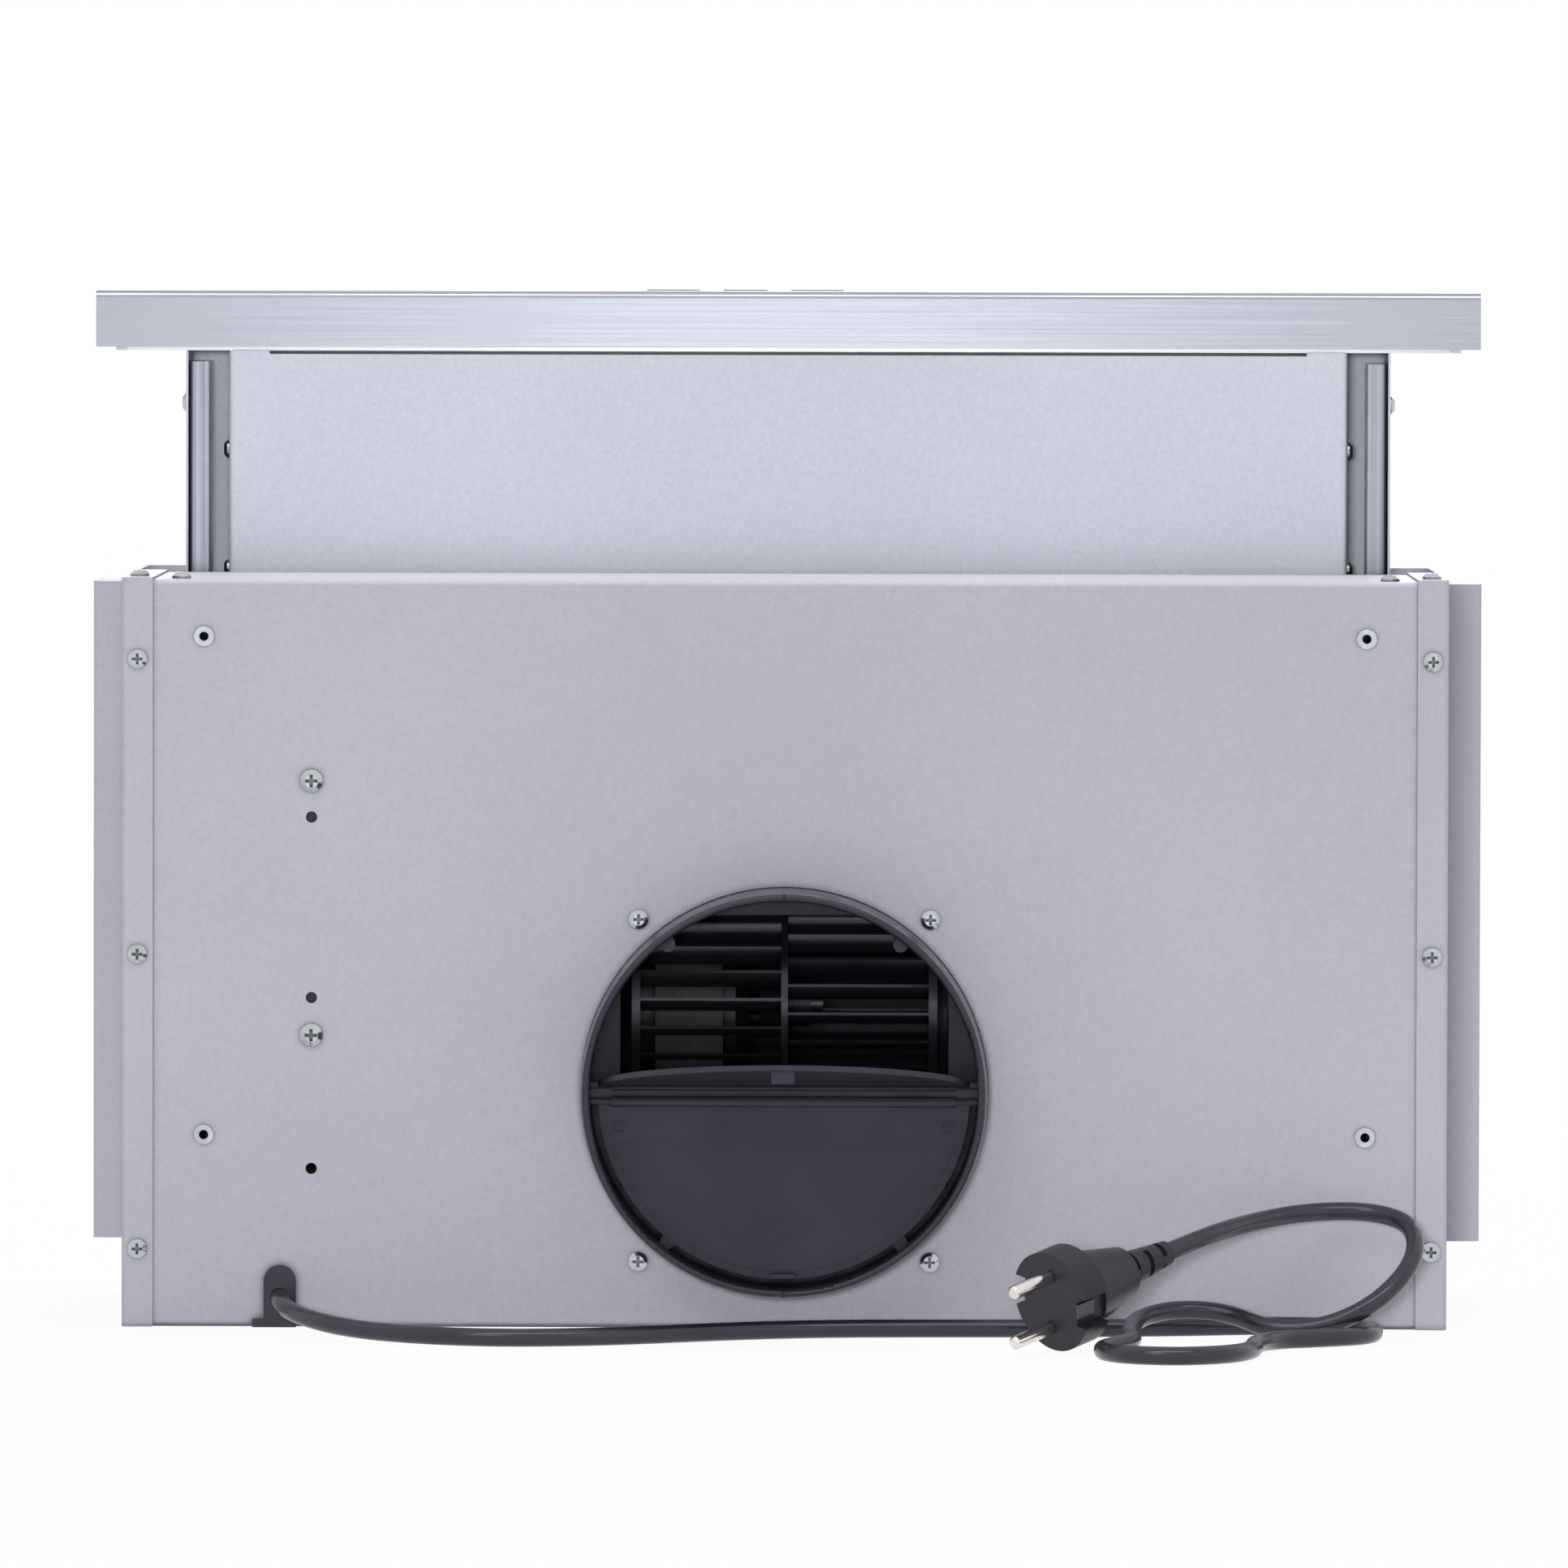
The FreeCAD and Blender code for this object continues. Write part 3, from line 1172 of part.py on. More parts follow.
make_drawer_panel()
for side_name, side_sign in SIDES.items():
    make_drawer_side(side_name, side_sign)
    make_slide(side_name, side_sign)
make_rear_rail()
make_front_bar()
make_back_plate()
make_controls()
make_filter("drawer", panel_half - sheet_wall - loose_gap, channel_floor - sheet_wall,
            drawer_rear + sheet_wall + bend_inside, back_plate_z - loose_gap)
make_filter("body", half_width - under_flange + cut_margin, lamp_panel_drop, sheet_wall + loose_gap,
            lamp_panel_rear - loose_gap)
make_lamps()
screws("drawer_screws", [((s * (panel_half + sheet_wall), y, z), (-s, 0, 0)) for s in (-1, 1)
                         for y, z in drawer_screw_spots],
       screw_head, screw_dome, screw_shank, 2 * sheet_wall)
screws("slide_screws", [((s * drawer_half, y, z), (-s, 0, 0)) for s in (-1, 1) for y, z in slide_screw_spots],
       screw_head, screw_dome, screw_shank, sheet_wall + slide_wall)


# Driving dimensions: terminal box, grommet, cord and plug

box_half = size("box_half", 28)
box_margin = size("box_margin", 13)
box_height = size("box_height", 34)
box_wall = size("box_wall", 2)
boss_radius = size("boss_radius", 5)
boss_height = size("boss_height", 8)
capacitor_radius = size("capacitor_radius", 12)
capacitor_length = size("capacitor_length", 66)
capacitor_shift = size("capacitor_shift", 11)
capacitor_start = size("capacitor_start", 115)
grommet_half = size("grommet_half", 5.7)
grommet_top = size("grommet_top", 22)
grommet_proud = size("grommet_proud", 2.5)
grommet_inside = size("grommet_inside", 2)
grommet_inner_start = size("grommet_inner_start", 4)
grommet_foot = size("grommet_foot", 4)
grommet_foot_height = size("grommet_foot_height", 3)
cord_exit = size("cord_exit", 10.6)
cord_radius = size("cord_radius", 3.2)
relief_length = size("relief_length", 22)
relief_tip = size("relief_tip", 4.3)
relief_base = size("relief_base", 6.5)
relief_grooves = 3
groove_width = size("groove_width", 2.2)
groove_depth = size("groove_depth", 1.3)
groove_start = 0.5
groove_bridge = size("groove_bridge", 3)
neck_length = size("neck_length", 15)
neck_radius = size("neck_radius", 9)
plug_radius = size("plug_radius", 17.8)
plug_rear_radius = size("plug_rear_radius", 14.6)
plug_length = size("plug_length", 20)
plug_notch_half = size("plug_notch_half", 5.5)
plug_notch_depth = size("plug_notch_depth", 5.4)
plug_ear = size("plug_ear", 11)
plug_notch_length = size("plug_notch_length", 13)
pin_radius = size("pin_radius", 2.4)
pin_length = size("pin_length", 19)
pin_spacing = size("pin_spacing", 19)
pin_tip_round = size("pin_tip_round", 1.4)
clip_half = size("clip_half", 2.6)
clip_wall = size("clip_wall", 0.8)
clip_length = size("clip_length", 8)
DOC.recompute()

box_low, box_high = box_screw_low - box_margin, box_screw_high + box_margin
box_top = top_y + sheet_wall
box_under = box_top + box_height


def make_control_box():
    """Terminal box under the top plate, its cover, and the motor's run capacitor inside it."""
    left, right = -box_screw_offset - box_half, -box_screw_offset + box_half
    outer = box("box_outer", left, box_top, box_low, right, box_under, box_high)
    inner = box("box_inner", left + box_wall, box_top + box_wall, box_low + box_wall, right - box_wall,
                box_under + cut_margin, box_high - box_wall)
    shell = cut("box_shell", outer, inner)
    bosses = [rod("box_boss", -box_screw_offset, box_top, z, "Y", boss_radius, boss_height + box_wall)
              for z in box_screw_zs]
    holes = [rod("box_hole", -box_screw_offset, box_top - cut_margin, z, "Y", box_screw_shank + fit_gap,
                 boss_height + box_wall + 2 * cut_margin) for z in box_screw_zs]
    piece(cut("control_box_cut", join("box_join", shell, *bosses), *holes), "control_box")
    plate = box("cover_plate", left, box_under, box_low, right, box_under + box_wall, box_high)
    inset = box_wall + loose_gap
    lip = box("cover_lip", left + inset, box_under - box_wall, box_low + inset, right - inset,
              box_under + box_wall, box_high - inset)
    hollow = box("cover_hollow", left + inset + box_wall, box_under - box_wall - cut_margin,
                 box_low + inset + box_wall, right - inset - box_wall, box_under, box_high - inset - box_wall)
    piece(cut("control_box_cover_cut", join("cover_join", plate, lip), hollow), "control_box_cover")
    can = rod("capacitor_can", -box_screw_offset - capacitor_shift,
              box_top + box_wall + capacitor_radius + fit_gap, capacitor_start, "Z", capacitor_radius,
              capacitor_length)
    piece(can, "capacitor")


def make_grommet():
    """Rubber arch that fills the slot at the rear edge of the top plate."""
    x, face = -slot_offset, top_y - grommet_proud
    crown = grommet_top - grommet_half
    inside = top_y + sheet_wall
    shapes = [
        box("grommet_arch", x - grommet_half, face, 0, x + grommet_half, top_y, crown),
        rod("grommet_crown", x, face, crown, "Y", grommet_half, grommet_proud),
        box("grommet_foot_block", x - grommet_half - grommet_foot, face, 0, x - grommet_half + cut_margin,
            top_y, grommet_foot_height),
        box("grommet_neck", x - slot_half + fit_gap, top_y - cut_margin, fit_gap,
            x + slot_half - fit_gap, inside + cut_margin, slot_top - fit_gap),
        box("grommet_inner", x - grommet_half, inside, grommet_inner_start, x + grommet_half,
            inside + grommet_inside, crown),
        rod("grommet_inner_crown", x, inside, crown, "Y", grommet_half, grommet_inside),
    ]
    hole = rod("grommet_hole", x, face - cut_margin, cord_exit, "Y", cord_radius + fit_gap,
               grommet_proud + sheet_wall + grommet_inside + 2 * cut_margin)
    piece(cut("cord_grommet_cut", join("grommet_join", *shapes), hole), "cord_grommet")


PLUG_END = Vector(133.5, -145, 32.2)
PLUG_AXIS = Vector(-0.70, -0.65, -0.25).normalize()
PIN_LINE = Vector(0.054, 0.355, -0.933)
CORD_ROUTE = [
    (-178, -91, 10.6),
    (-172, -113, 7.5),
    (-153, -135, 4.2),
    (-127, -154, 3.4),
    (-96, -166, 3.4),
    (-58, -157, 3.4),
    (-20, -133, 3.4),
    (14, -120, 3.4),
    (56, -117, 3.4),
    (96, -115.5, 3.4),
    (136, -110, 3.4),
    (164, -101.5, 3.4),
    (186, -101, 3.4),
    (202, -110, 3.4),
    (208, -127, 3.4),
    (203, -145, 3.4),
    (187, -155.5, 3.4),
    (171, -164, 3.4),
    (163, -182, 3.4),
    (163, -205, 3.4),
    (155, -226, 3.4),
    (136, -237, 3.4),
    (116, -229, 3.4),
    (109, -210, 3.4),
    (115, -190, 3.4),
    (122, -171, 3.4),
    (121, -153, 4.4),
    (122.5, -134.5, 8),
    (136, -121, 10.8),
    (155, -121.5, 10),
    (170, -133, 4.4),
    (190, -136, 5.6),
    (208.3, -134.5, 14.5),
    (221.5, -121.3, 28),
    (221.5, -102.7, 39),
    (208.3, -89.5, 43),
    (187, -89.5, 43),
    (168.5, -101.5, 41),
]


def route_wire(points):
    """Straight runs joined by arcs as large as the runs allow; prints the arcs' radii."""
    share = 0.45
    edges, radii = [], []
    last = points[0]
    for before, here, after in zip(points, points[1:], points[2:]):
        back, ahead = before - here, after - here
        reach = share * min(back.Length, ahead.Length)
        half_turn = (math.pi - back.getAngle(ahead)) / 2
        radius = reach / math.tan(half_turn)
        back.normalize()
        ahead.normalize()
        start, end = here + back * reach, here + ahead * reach
        inward = (back + ahead).normalize()
        middle = here + inward * (radius / math.cos(half_turn) - radius)
        edges.append(Part.LineSegment(last, start).toShape())
        edges.append(Part.Arc(start, middle, end).toShape())
        radii.append(radius)
        last = end
    edges.append(Part.LineSegment(last, points[-1]).toShape())
    print("cord radii", " ".join(f"{radius:.0f}" for radius in radii))
    return Part.Wire(edges)


def least_gap(wire, diameter):
    """Least clear distance between turns of the tube, on points one radius apart."""
    spots = wire.discretize(Distance=diameter / 2)
    skip = 12
    return min(a.distanceToPoint(b) for i, a in enumerate(spots) for b in spots[i + skip:]) - diameter


def make_cord():
    """Mains lead from the grommet, along the floor and up into the plug."""
    start = Vector(num(-slot_offset), num(top_y + sheet_wall + grommet_inside), num(cord_exit))
    last_run = PLUG_END - PLUG_AXIS * (num(relief_length))
    points = [start] + [Vector(*spot) for spot in CORD_ROUTE] + [last_run, PLUG_END]
    wire = route_wire(points)
    radius = num(cord_radius)
    ring = Part.Wire(Part.makeCircle(radius, start, Vector(0, -1, 0)))
    tube = wire.makePipeShell([ring], True, False)
    expected = math.pi * radius * radius * wire.Length
    print(f"cord length {wire.Length:.0f}, volume over section times length {tube.Volume / expected:.4f}")
    print(f"cord's least gap to itself {least_gap(wire, 2 * radius):.1f}")
    item = DOC.addObject("Part::Feature", "mains_cord_tube")
    item.Shape = tube
    return piece(item, "mains_cord")


def make_plug():
    """Two-pin earthed plug lying on the floor, with a grooved strain relief."""
    tip, base, neck, head = (num(v) for v in (relief_tip, relief_base, neck_radius, plug_radius))
    relief, taper, body = num(relief_length), num(neck_length), num(plug_length)
    up = Vector(0, 0, 1)
    shape = Part.makeCone(tip, base, relief, Vector(0, 0, 0), up)
    shape = shape.fuse([
        Part.makeCone(neck, num(plug_rear_radius), taper + body - num(plug_ear), Vector(0, 0, relief), up),
        Part.makeCylinder(head, num(plug_ear), Vector(0, 0, relief + taper + body - num(plug_ear)), up),
    ])
    width, depth = num(groove_width), num(groove_depth)
    for i in range(relief_grooves):
        z = relief * (i + groove_start) / relief_grooves
        core = tip + (base - tip) * z / relief - depth
        ring = Part.makeCylinder(base + depth, width, Vector(0, 0, z), up)
        reach, half = base + depth, num(groove_bridge) / 2
        across = (reach, half) if i % 2 else (half, reach)
        ring = ring.cut(Part.makeBox(2 * across[0], 2 * across[1], width, Vector(-across[0], -across[1], z)))
        shape = shape.cut(ring.cut(Part.makeCylinder(core, width, Vector(0, 0, z), up)))
    notch, wide = num(plug_notch_depth), num(plug_notch_half)
    face = relief + taper + body
    for side in (-1, 1):
        low = head - notch if side > 0 else -head - wide
        start = face - num(plug_notch_length)
        shape = shape.cut(Part.makeBox(2 * wide, notch + wide, face, Vector(-wide, low, start)))
    pins, clips = [], []
    for side in (-1, 1):
        foot = Vector(side * num(pin_spacing) / 2, 0, face)
        pin = Part.makeCylinder(num(pin_radius), num(pin_length), foot, up)
        far = [edge for edge in pin.Edges if edge.Closed and edge.CenterOfMass.z > face + 1]
        pins.append(pin.makeFillet(num(pin_tip_round), far[:1]))
        floor = head - notch
        low = floor if side > 0 else -floor - num(clip_wall)
        clips.append(Part.makeBox(2 * num(clip_half), num(clip_wall), num(clip_length),
                                  Vector(-num(clip_half), low, face - num(clip_length))))
    across = PLUG_AXIS.cross(PIN_LINE).normalize()
    pin_way = across.cross(PLUG_AXIS)
    stand = FreeCAD.Placement(PLUG_END, FreeCAD.Rotation(pin_way, across, PLUG_AXIS, "ZXY"))
    for label, solids in (("plug_body", [shape]), ("plug_pins", pins), ("plug_earth_clips", clips)):
        for solid in solids:
            solid.Placement = stand.multiply(solid.Placement)
        group(label, solids)


make_control_box()
make_grommet()
make_cord()
make_plug()


# Finish


def finish():
    """Refuse a broken object, then write each sub-part to its own file."""
    DOC.recompute()
    for item in DOC.Objects:
        if "Invalid" in item.State or "Error" in item.State:
            raise RuntimeError(f"{item.Name} ({item.Label}) failed: {item.State}")
    os.makedirs("parts", exist_ok=True)
    for item in PIECES:
        if item.Shape.isNull() or not item.Shape.isValid() or not item.Shape.Solids:
            raise RuntimeError(f"{item.Label} has no valid solid")
    for item in PIECES:
        item.Shape.exportStep(f"parts/{item.Label}.step")
    print(len(PIECES), "pieces written")


finish()
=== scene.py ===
import json
import math

import bmesh
import bpy
from mathutils import Matrix, Vector


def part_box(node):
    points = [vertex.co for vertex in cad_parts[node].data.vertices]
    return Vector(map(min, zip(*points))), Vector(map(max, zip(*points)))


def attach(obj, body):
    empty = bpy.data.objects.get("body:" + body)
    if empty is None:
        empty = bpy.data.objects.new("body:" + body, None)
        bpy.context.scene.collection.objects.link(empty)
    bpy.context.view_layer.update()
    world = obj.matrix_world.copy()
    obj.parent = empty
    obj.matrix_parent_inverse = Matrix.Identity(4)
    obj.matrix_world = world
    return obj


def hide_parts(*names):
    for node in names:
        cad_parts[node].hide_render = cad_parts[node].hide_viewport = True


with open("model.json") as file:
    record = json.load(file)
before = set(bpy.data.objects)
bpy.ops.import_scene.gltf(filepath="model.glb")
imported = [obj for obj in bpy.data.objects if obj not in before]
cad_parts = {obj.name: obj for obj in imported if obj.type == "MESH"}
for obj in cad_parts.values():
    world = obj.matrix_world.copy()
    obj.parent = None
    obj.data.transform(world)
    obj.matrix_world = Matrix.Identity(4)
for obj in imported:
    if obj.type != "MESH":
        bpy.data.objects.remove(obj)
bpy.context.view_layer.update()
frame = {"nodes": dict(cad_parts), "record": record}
NODES = frame["nodes"]
MM = 0.001

# Helpers for new pieces


def new_object(name, bm):
    """A mesh object from bmesh, linked to the scene."""
    mesh = bpy.data.meshes.new(name)
    bm.to_mesh(mesh)
    bm.free()
    item = bpy.data.objects.new(name, mesh)
    bpy.context.scene.collection.objects.link(item)
    return item


def dress(item, body, slot, material, *replaced):
    """Gives a piece its body and material, and hides the nodes that it stands for; its slot argument is
    not used.
    """
    item.data.materials.append(material)
    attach(item, body)
    if replaced:
        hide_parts(*replaced)
    return item


# Camera, at the photograph's viewing angle

IMAGE_SIDE = 1932
SENSOR_MM = 36
FOCAL_PIXELS = 17467
CAMERA_DISTANCE = 5.0
CAMERA_AZIMUTH = 0.383
CAMERA_ELEVATION = 2.3
CAMERA_ROLL = 0.138
CAMERA_TARGET = Vector((-0.00033, -0.075, 0.1924))
CAMERA_CLIP_END = 100


def make_camera():
    """Long lens, nearly square to the duct face and a little above its middle."""
    data = bpy.data.cameras.new("photo_camera")
    data.sensor_width = SENSOR_MM
    data.lens = FOCAL_PIXELS / IMAGE_SIDE * SENSOR_MM
    data.clip_end = CAMERA_CLIP_END
    camera = bpy.data.objects.new("photo_camera", data)
    bpy.context.scene.collection.objects.link(camera)
    azimuth, elevation = math.radians(CAMERA_AZIMUTH), math.radians(CAMERA_ELEVATION)
    back = Vector((math.sin(azimuth) * math.cos(elevation), -math.cos(azimuth) * math.cos(elevation),
                   math.sin(elevation)))
    look = (-back).to_track_quat("-Z", "Y").to_matrix().to_4x4()
    roll = Matrix.Rotation(math.radians(CAMERA_ROLL), 4, "Z")
    camera.matrix_world = Matrix.Translation(CAMERA_TARGET + CAMERA_DISTANCE * back) @ look @ roll
    bpy.context.scene.camera = camera


# Floor, backdrop and lights

WHITE = (1, 1, 1, 1)
WORLD_LEVEL = 0.20
FLOOR_COLOR = (0.7, 0.7, 0.71, 1)
FLOOR_HALF_SIDE = 12
FLOOR_GAP = 0.0004

# Where the floor's fade starts and ends, in metres from the middle, and its share of plain white there
FLOOR_FADE = (0.62, 1.1)
FLOOR_GLOW = (0.95, 1.0)

# Each lamp: place, aim, size, power and the rays that see it
LAMPS = {
    "key_lamp": ((-1.5, -3.2, 2.4), (0, -0.05, 0.2), (1.6, 1.2), 16, "all"),
    "fill_lamp": ((2.1, -2.6, 1.0), (0, -0.05, 0.2), (1.6, 1.6), 3, "all"),
    "front_lamp": ((-0.15, -4.6, 0.46), (0, -0.05, 0.2), (0.5, 0.4), 90, "matt"),
    "glint_lamp": ((-0.05, -5.4, 0.30), (0.02, -0.05, 0.35), (0.2, 0.3), 2.2, "gloss"),
    "strip_lamp": ((0, -1.4, 2.1), (0, -0.1, 0.1), (2.2, 0.3), 14, "gloss"),
    "top_lamp": ((0.1, 0.45, 2.7), (0, 0, 0.2), (2.4, 1.3), 80, "matt"),
    "back_lamp": ((0.4, 3.0, 1.6), (0, 0, 0.2), (2.0, 1.6), 40, "all"),
}


def seen_directly(nodes, links):
    """1 for rays that should meet a white background: camera, glossy and transmission rays."""
    path = nodes.new("ShaderNodeLightPath")
    total = path.outputs["Is Camera Ray"]
    for name in ("Is Glossy Ray", "Is Transmission Ray"):
        step = nodes.new("ShaderNodeMath")
        step.operation = "MAXIMUM"
        links.new(total, step.inputs[0])
        links.new(path.outputs[name], step.inputs[1])
        total = step.outputs[0]
    return total


def make_world():
    """White where it is seen, and a plain soft level where it only lights."""
    world = bpy.data.worlds.new("studio")
    bpy.context.scene.world = world
    world.use_nodes = True
    nodes, links = world.node_tree.nodes, world.node_tree.links
    nodes.clear()
    soft = nodes.new("ShaderNodeBackground")
    white = nodes.new("ShaderNodeBackground")
    for background in (soft, white):
        background.inputs["Color"].default_value = WHITE
    soft.inputs["Strength"].default_value = WORLD_LEVEL
    mix = nodes.new("ShaderNodeMixShader")
    out = nodes.new("ShaderNodeOutputWorld")
    links.new(seen_directly(nodes, links), mix.inputs[0])
    links.new(soft.outputs[0], mix.inputs[1])
    links.new(white.outputs[0], mix.inputs[2])
    links.new(mix.outputs[0], out.inputs[0])


def make_floor():
    """Pale floor just under the hood: it keeps a faint shadow and turns white further out."""
    bm = bmesh.new()
    bmesh.ops.create_grid(bm, x_segments=2, y_segments=2, size=FLOOR_HALF_SIDE)
    floor = new_object("floor", bm)
    floor.location.z = -FLOOR_GAP
    material = bpy.data.materials.new("floor_white")
    material.use_nodes = True
    nodes, links = material.node_tree.nodes, material.node_tree.links
    nodes.clear()
    matt = nodes.new("ShaderNodeBsdfDiffuse")
    matt.inputs["Color"].default_value = FLOOR_COLOR
    glow = nodes.new("ShaderNodeEmission")
    place = nodes.new("ShaderNodeTexCoord")
    reach = nodes.new("ShaderNodeVectorMath")
    reach.operation = "LENGTH"
    fade = nodes.new("ShaderNodeMapRange")
    for socket, value in zip(("From Min", "From Max", "To Min", "To Max"), FLOOR_FADE + FLOOR_GLOW):
        fade.inputs[socket].default_value = value
    share = nodes.new("ShaderNodeMath")
    share.operation = "MULTIPLY"
    mix = nodes.new("ShaderNodeMixShader")
    out = nodes.new("ShaderNodeOutputMaterial")
    links.new(place.outputs["Object"], reach.inputs[0])
    links.new(reach.outputs["Value"], fade.inputs["Value"])
    links.new(seen_directly(nodes, links), share.inputs[0])
    links.new(fade.outputs["Result"], share.inputs[1])
    links.new(share.outputs[0], mix.inputs[0])
    links.new(matt.outputs[0], mix.inputs[1])
    links.new(glow.outputs[0], mix.inputs[2])
    links.new(mix.outputs[0], out.inputs[0])
    floor.data.materials.append(material)


def make_lamps():
    """Area lamps for all rays, or without their glossy (matt) or diffuse (gloss) light."""
    for name, (place, aim, size, power, rays) in LAMPS.items():
        data = bpy.data.lights.new(name, "AREA")
        data.shape = "RECTANGLE"
        data.size, data.size_y = size
        data.energy = power
        lamp = bpy.data.objects.new(name, data)
        bpy.context.scene.collection.objects.link(lamp)
        lamp.visible_glossy = rays != "matt"
        lamp.visible_diffuse = rays != "gloss"
        lamp.location = place
        lamp.rotation_euler = (Vector(aim) - Vector(place)).to_track_quat("-Z", "Y").to_euler()


# Materials

PAINT = (0.475, 0.468, 0.54)
PANEL_PAINT = (0.64, 0.66, 0.735)
STEEL = (0.39, 0.41, 0.465)
ZINC = (0.30, 0.32, 0.365)
SLIDE_ZINC = (0.34, 0.365, 0.42)
# Paler copy of the bar's steel for its back plate: painted highlight on the lip below the bar
HIGHLIGHT_PALE_STEEL = (0.60, 0.61, 0.65)
BRIGHT_ZINC = (0.50, 0.53, 0.57)
DULL_STEEL = (0.10, 0.10, 0.105)
BLACK = (0.033, 0.031, 0.046)
COLLAR_BLACK = (0.022, 0.021, 0.032)
# Darker copies of the black plastic for the wheel and scroll deep inside the collar: painted shade
WHEEL_SHADED_BLACK = (0.008, 0.008, 0.011)
SCROLL_SHADED_BLACK = (0.012, 0.012, 0.016)
CHARCOAL = (0.020, 0.020, 0.028)
PLUG_BLACK = (0.017, 0.016, 0.022)
NICKEL = (0.80, 0.75, 0.72)
ALUMINIUM = (0.50, 0.51, 0.53)
SHAFT_STEEL = (0.22, 0.22, 0.225)
FOIL = (0.66, 0.67, 0.69)
LATCH_GREY = (0.10, 0.102, 0.108)
VARNISH = (0.046, 0.039, 0.043)
CAN_ALUMINIUM = (0.72, 0.72, 0.73)
BUTTON_GREY = (0.30, 0.31, 0.33)
HOUSING_WHITE = (0.62, 0.62, 0.63)
LENS_WHITE = (0.84, 0.84, 0.82)
COOL_TINT = (0.84, 0.88, 1, 1)
GRAZING_TINT = (0.72, 0.74, 0.78, 1)

# The part of a noise texture's values that is put to use
NOISE_LOW = 0.3
NOISE_HIGH = 0.7

# Painted shade in seams and recesses: reach in metres, rays, and the openness from which it darkens and
# at which it stops
SHADE_REACH = 0.003
SHADE_SAMPLES = 8
SHADE_OPENNESS = (0.3, 0.95)

# Depth of the finest moulded grain, in metres
SMOOTH_RELIEF = 0.000008


class Surface:
    """A node material on the piece's own coordinates, with helpers for its textures."""

    def __init__(self, name, color, metallic=0.0, roughness=0.5, **sockets):
        self.material = bpy.data.materials.new(name)
        self.material.use_nodes = True
        self.nodes, self.links = self.material.node_tree.nodes, self.material.node_tree.links
        self.shader = self.nodes["Principled BSDF"]
        self.shader.inputs["Base Color"].default_value = (*color, 1)
        self.shader.inputs["Metallic"].default_value = metallic
        self.shader.inputs["Roughness"].default_value = roughness
        for socket, value in sockets.items():
            self.shader.inputs[socket.replace("_", " ")].default_value = value
        self.place = self.nodes.new("ShaderNodeTexCoord").outputs["Object"]
        self.color, self.roughness = color, roughness

    def stretched(self, scale):
        """Coordinates scaled by a factor for each axis."""
        node = self.nodes.new("ShaderNodeMapping")
        node.inputs["Scale"].default_value = scale
        self.links.new(self.place, node.inputs["Vector"])
        return node.outputs["Vector"]

    def streaked(self, along, long_scale, cross_scale):
        """Coordinates for streaks that run along one axis."""
        return self.stretched(tuple(long_scale if axis == along else cross_scale for axis in "XYZ"))

    def noise(self, scale, detail=2.0, place=None):
        node = self.nodes.new("ShaderNodeTexNoise")
        node.inputs["Scale"].default_value = scale
        node.inputs["Detail"].default_value = detail
        self.links.new(place or self.place, node.inputs["Vector"])
        return node.outputs["Fac"]

    def wave(self, scale, place=None, direction="X", distortion=0.0):
        node = self.nodes.new("ShaderNodeTexWave")
        node.bands_direction = direction
        node.inputs["Scale"].default_value = scale
        node.inputs["Distortion"].default_value = distortion
        self.links.new(place or self.place, node.inputs["Vector"])
        return node.outputs["Fac"]

    def cells(self, scale):
        node = self.nodes.new("ShaderNodeTexVoronoi")
        node.inputs["Scale"].default_value = scale
        self.links.new(self.place, node.inputs["Vector"])
        return node.outputs["Distance"]

    def spread(self, fac, low, high, start=NOISE_LOW, end=NOISE_HIGH):
        """Maps a texture's start..end to low..high."""
        node = self.nodes.new("ShaderNodeMapRange")
        for socket, value in (("From Min", start), ("From Max", end), ("To Min", low), ("To Max", high)):
            node.inputs[socket].default_value = value
        self.links.new(fac, node.inputs["Value"])
        return node.outputs["Result"]

    def both(self, first, second, operation="MULTIPLY"):
        """Two textures as one."""
        node = self.nodes.new("ShaderNodeMath")
        node.operation = operation
        self.links.new(first, node.inputs[0])
        self.links.new(second, node.inputs[1])
        return node.outputs[0]

    def tint(self, fac, dark, light, start=NOISE_LOW, end=NOISE_HIGH):
        """Base colour that runs from dark to light times the written colour."""
        node = self.nodes.new("ShaderNodeMix")
        node.data_type = "RGBA"
        node.inputs["A"].default_value = (*(c * dark for c in self.color), 1)
        node.inputs["B"].default_value = (*(min(c * light, 1) for c in self.color), 1)
        self.links.new(self.spread(fac, 0, 1, start, end), node.inputs["Factor"])
        self.links.new(node.outputs["Result"], self.shader.inputs["Base Color"])

    def painted_crevice_shade(self, dark):
        """Painted shade: darkens the base colour in narrow seams and recesses, found by ambient
        occlusion, down to the given share.
        """
        shade = self.nodes.new("ShaderNodeAmbientOcclusion")
        shade.samples = SHADE_SAMPLES
        shade.inputs["Distance"].default_value = SHADE_REACH
        node = self.nodes.new("ShaderNodeMix")
        node.data_type, node.blend_type = "RGBA", "MULTIPLY"
        node.inputs["Factor"].default_value = 1
        color = self.shader.inputs["Base Color"]
        self.links.new(color.links[0].from_socket, node.inputs["A"])
        self.links.new(self.spread(shade.outputs["AO"], dark, 1, *SHADE_OPENNESS), node.inputs["B"])
        self.links.new(node.outputs["Result"], color)

    def rough(self, fac, spread):
        """Roughness that varies by the spread to both sides of the written one."""
        low, high = self.roughness - spread, self.roughness + spread
        self.links.new(self.spread(fac, low, high), self.shader.inputs["Roughness"])

    def bump(self, fac, depth, strength=1.0):
        """Relief of about the given depth in metres, added over any relief so far."""
        node = self.nodes.new("ShaderNodeBump")
        node.inputs["Strength"].default_value = strength
        node.inputs["Distance"].default_value = depth
        self.links.new(fac, node.inputs["Height"])
        normal = self.shader.inputs["Normal"]
        if normal.is_linked:
            self.links.new(normal.links[0].from_socket, node.inputs["Normal"])
        self.links.new(node.outputs["Normal"], normal)


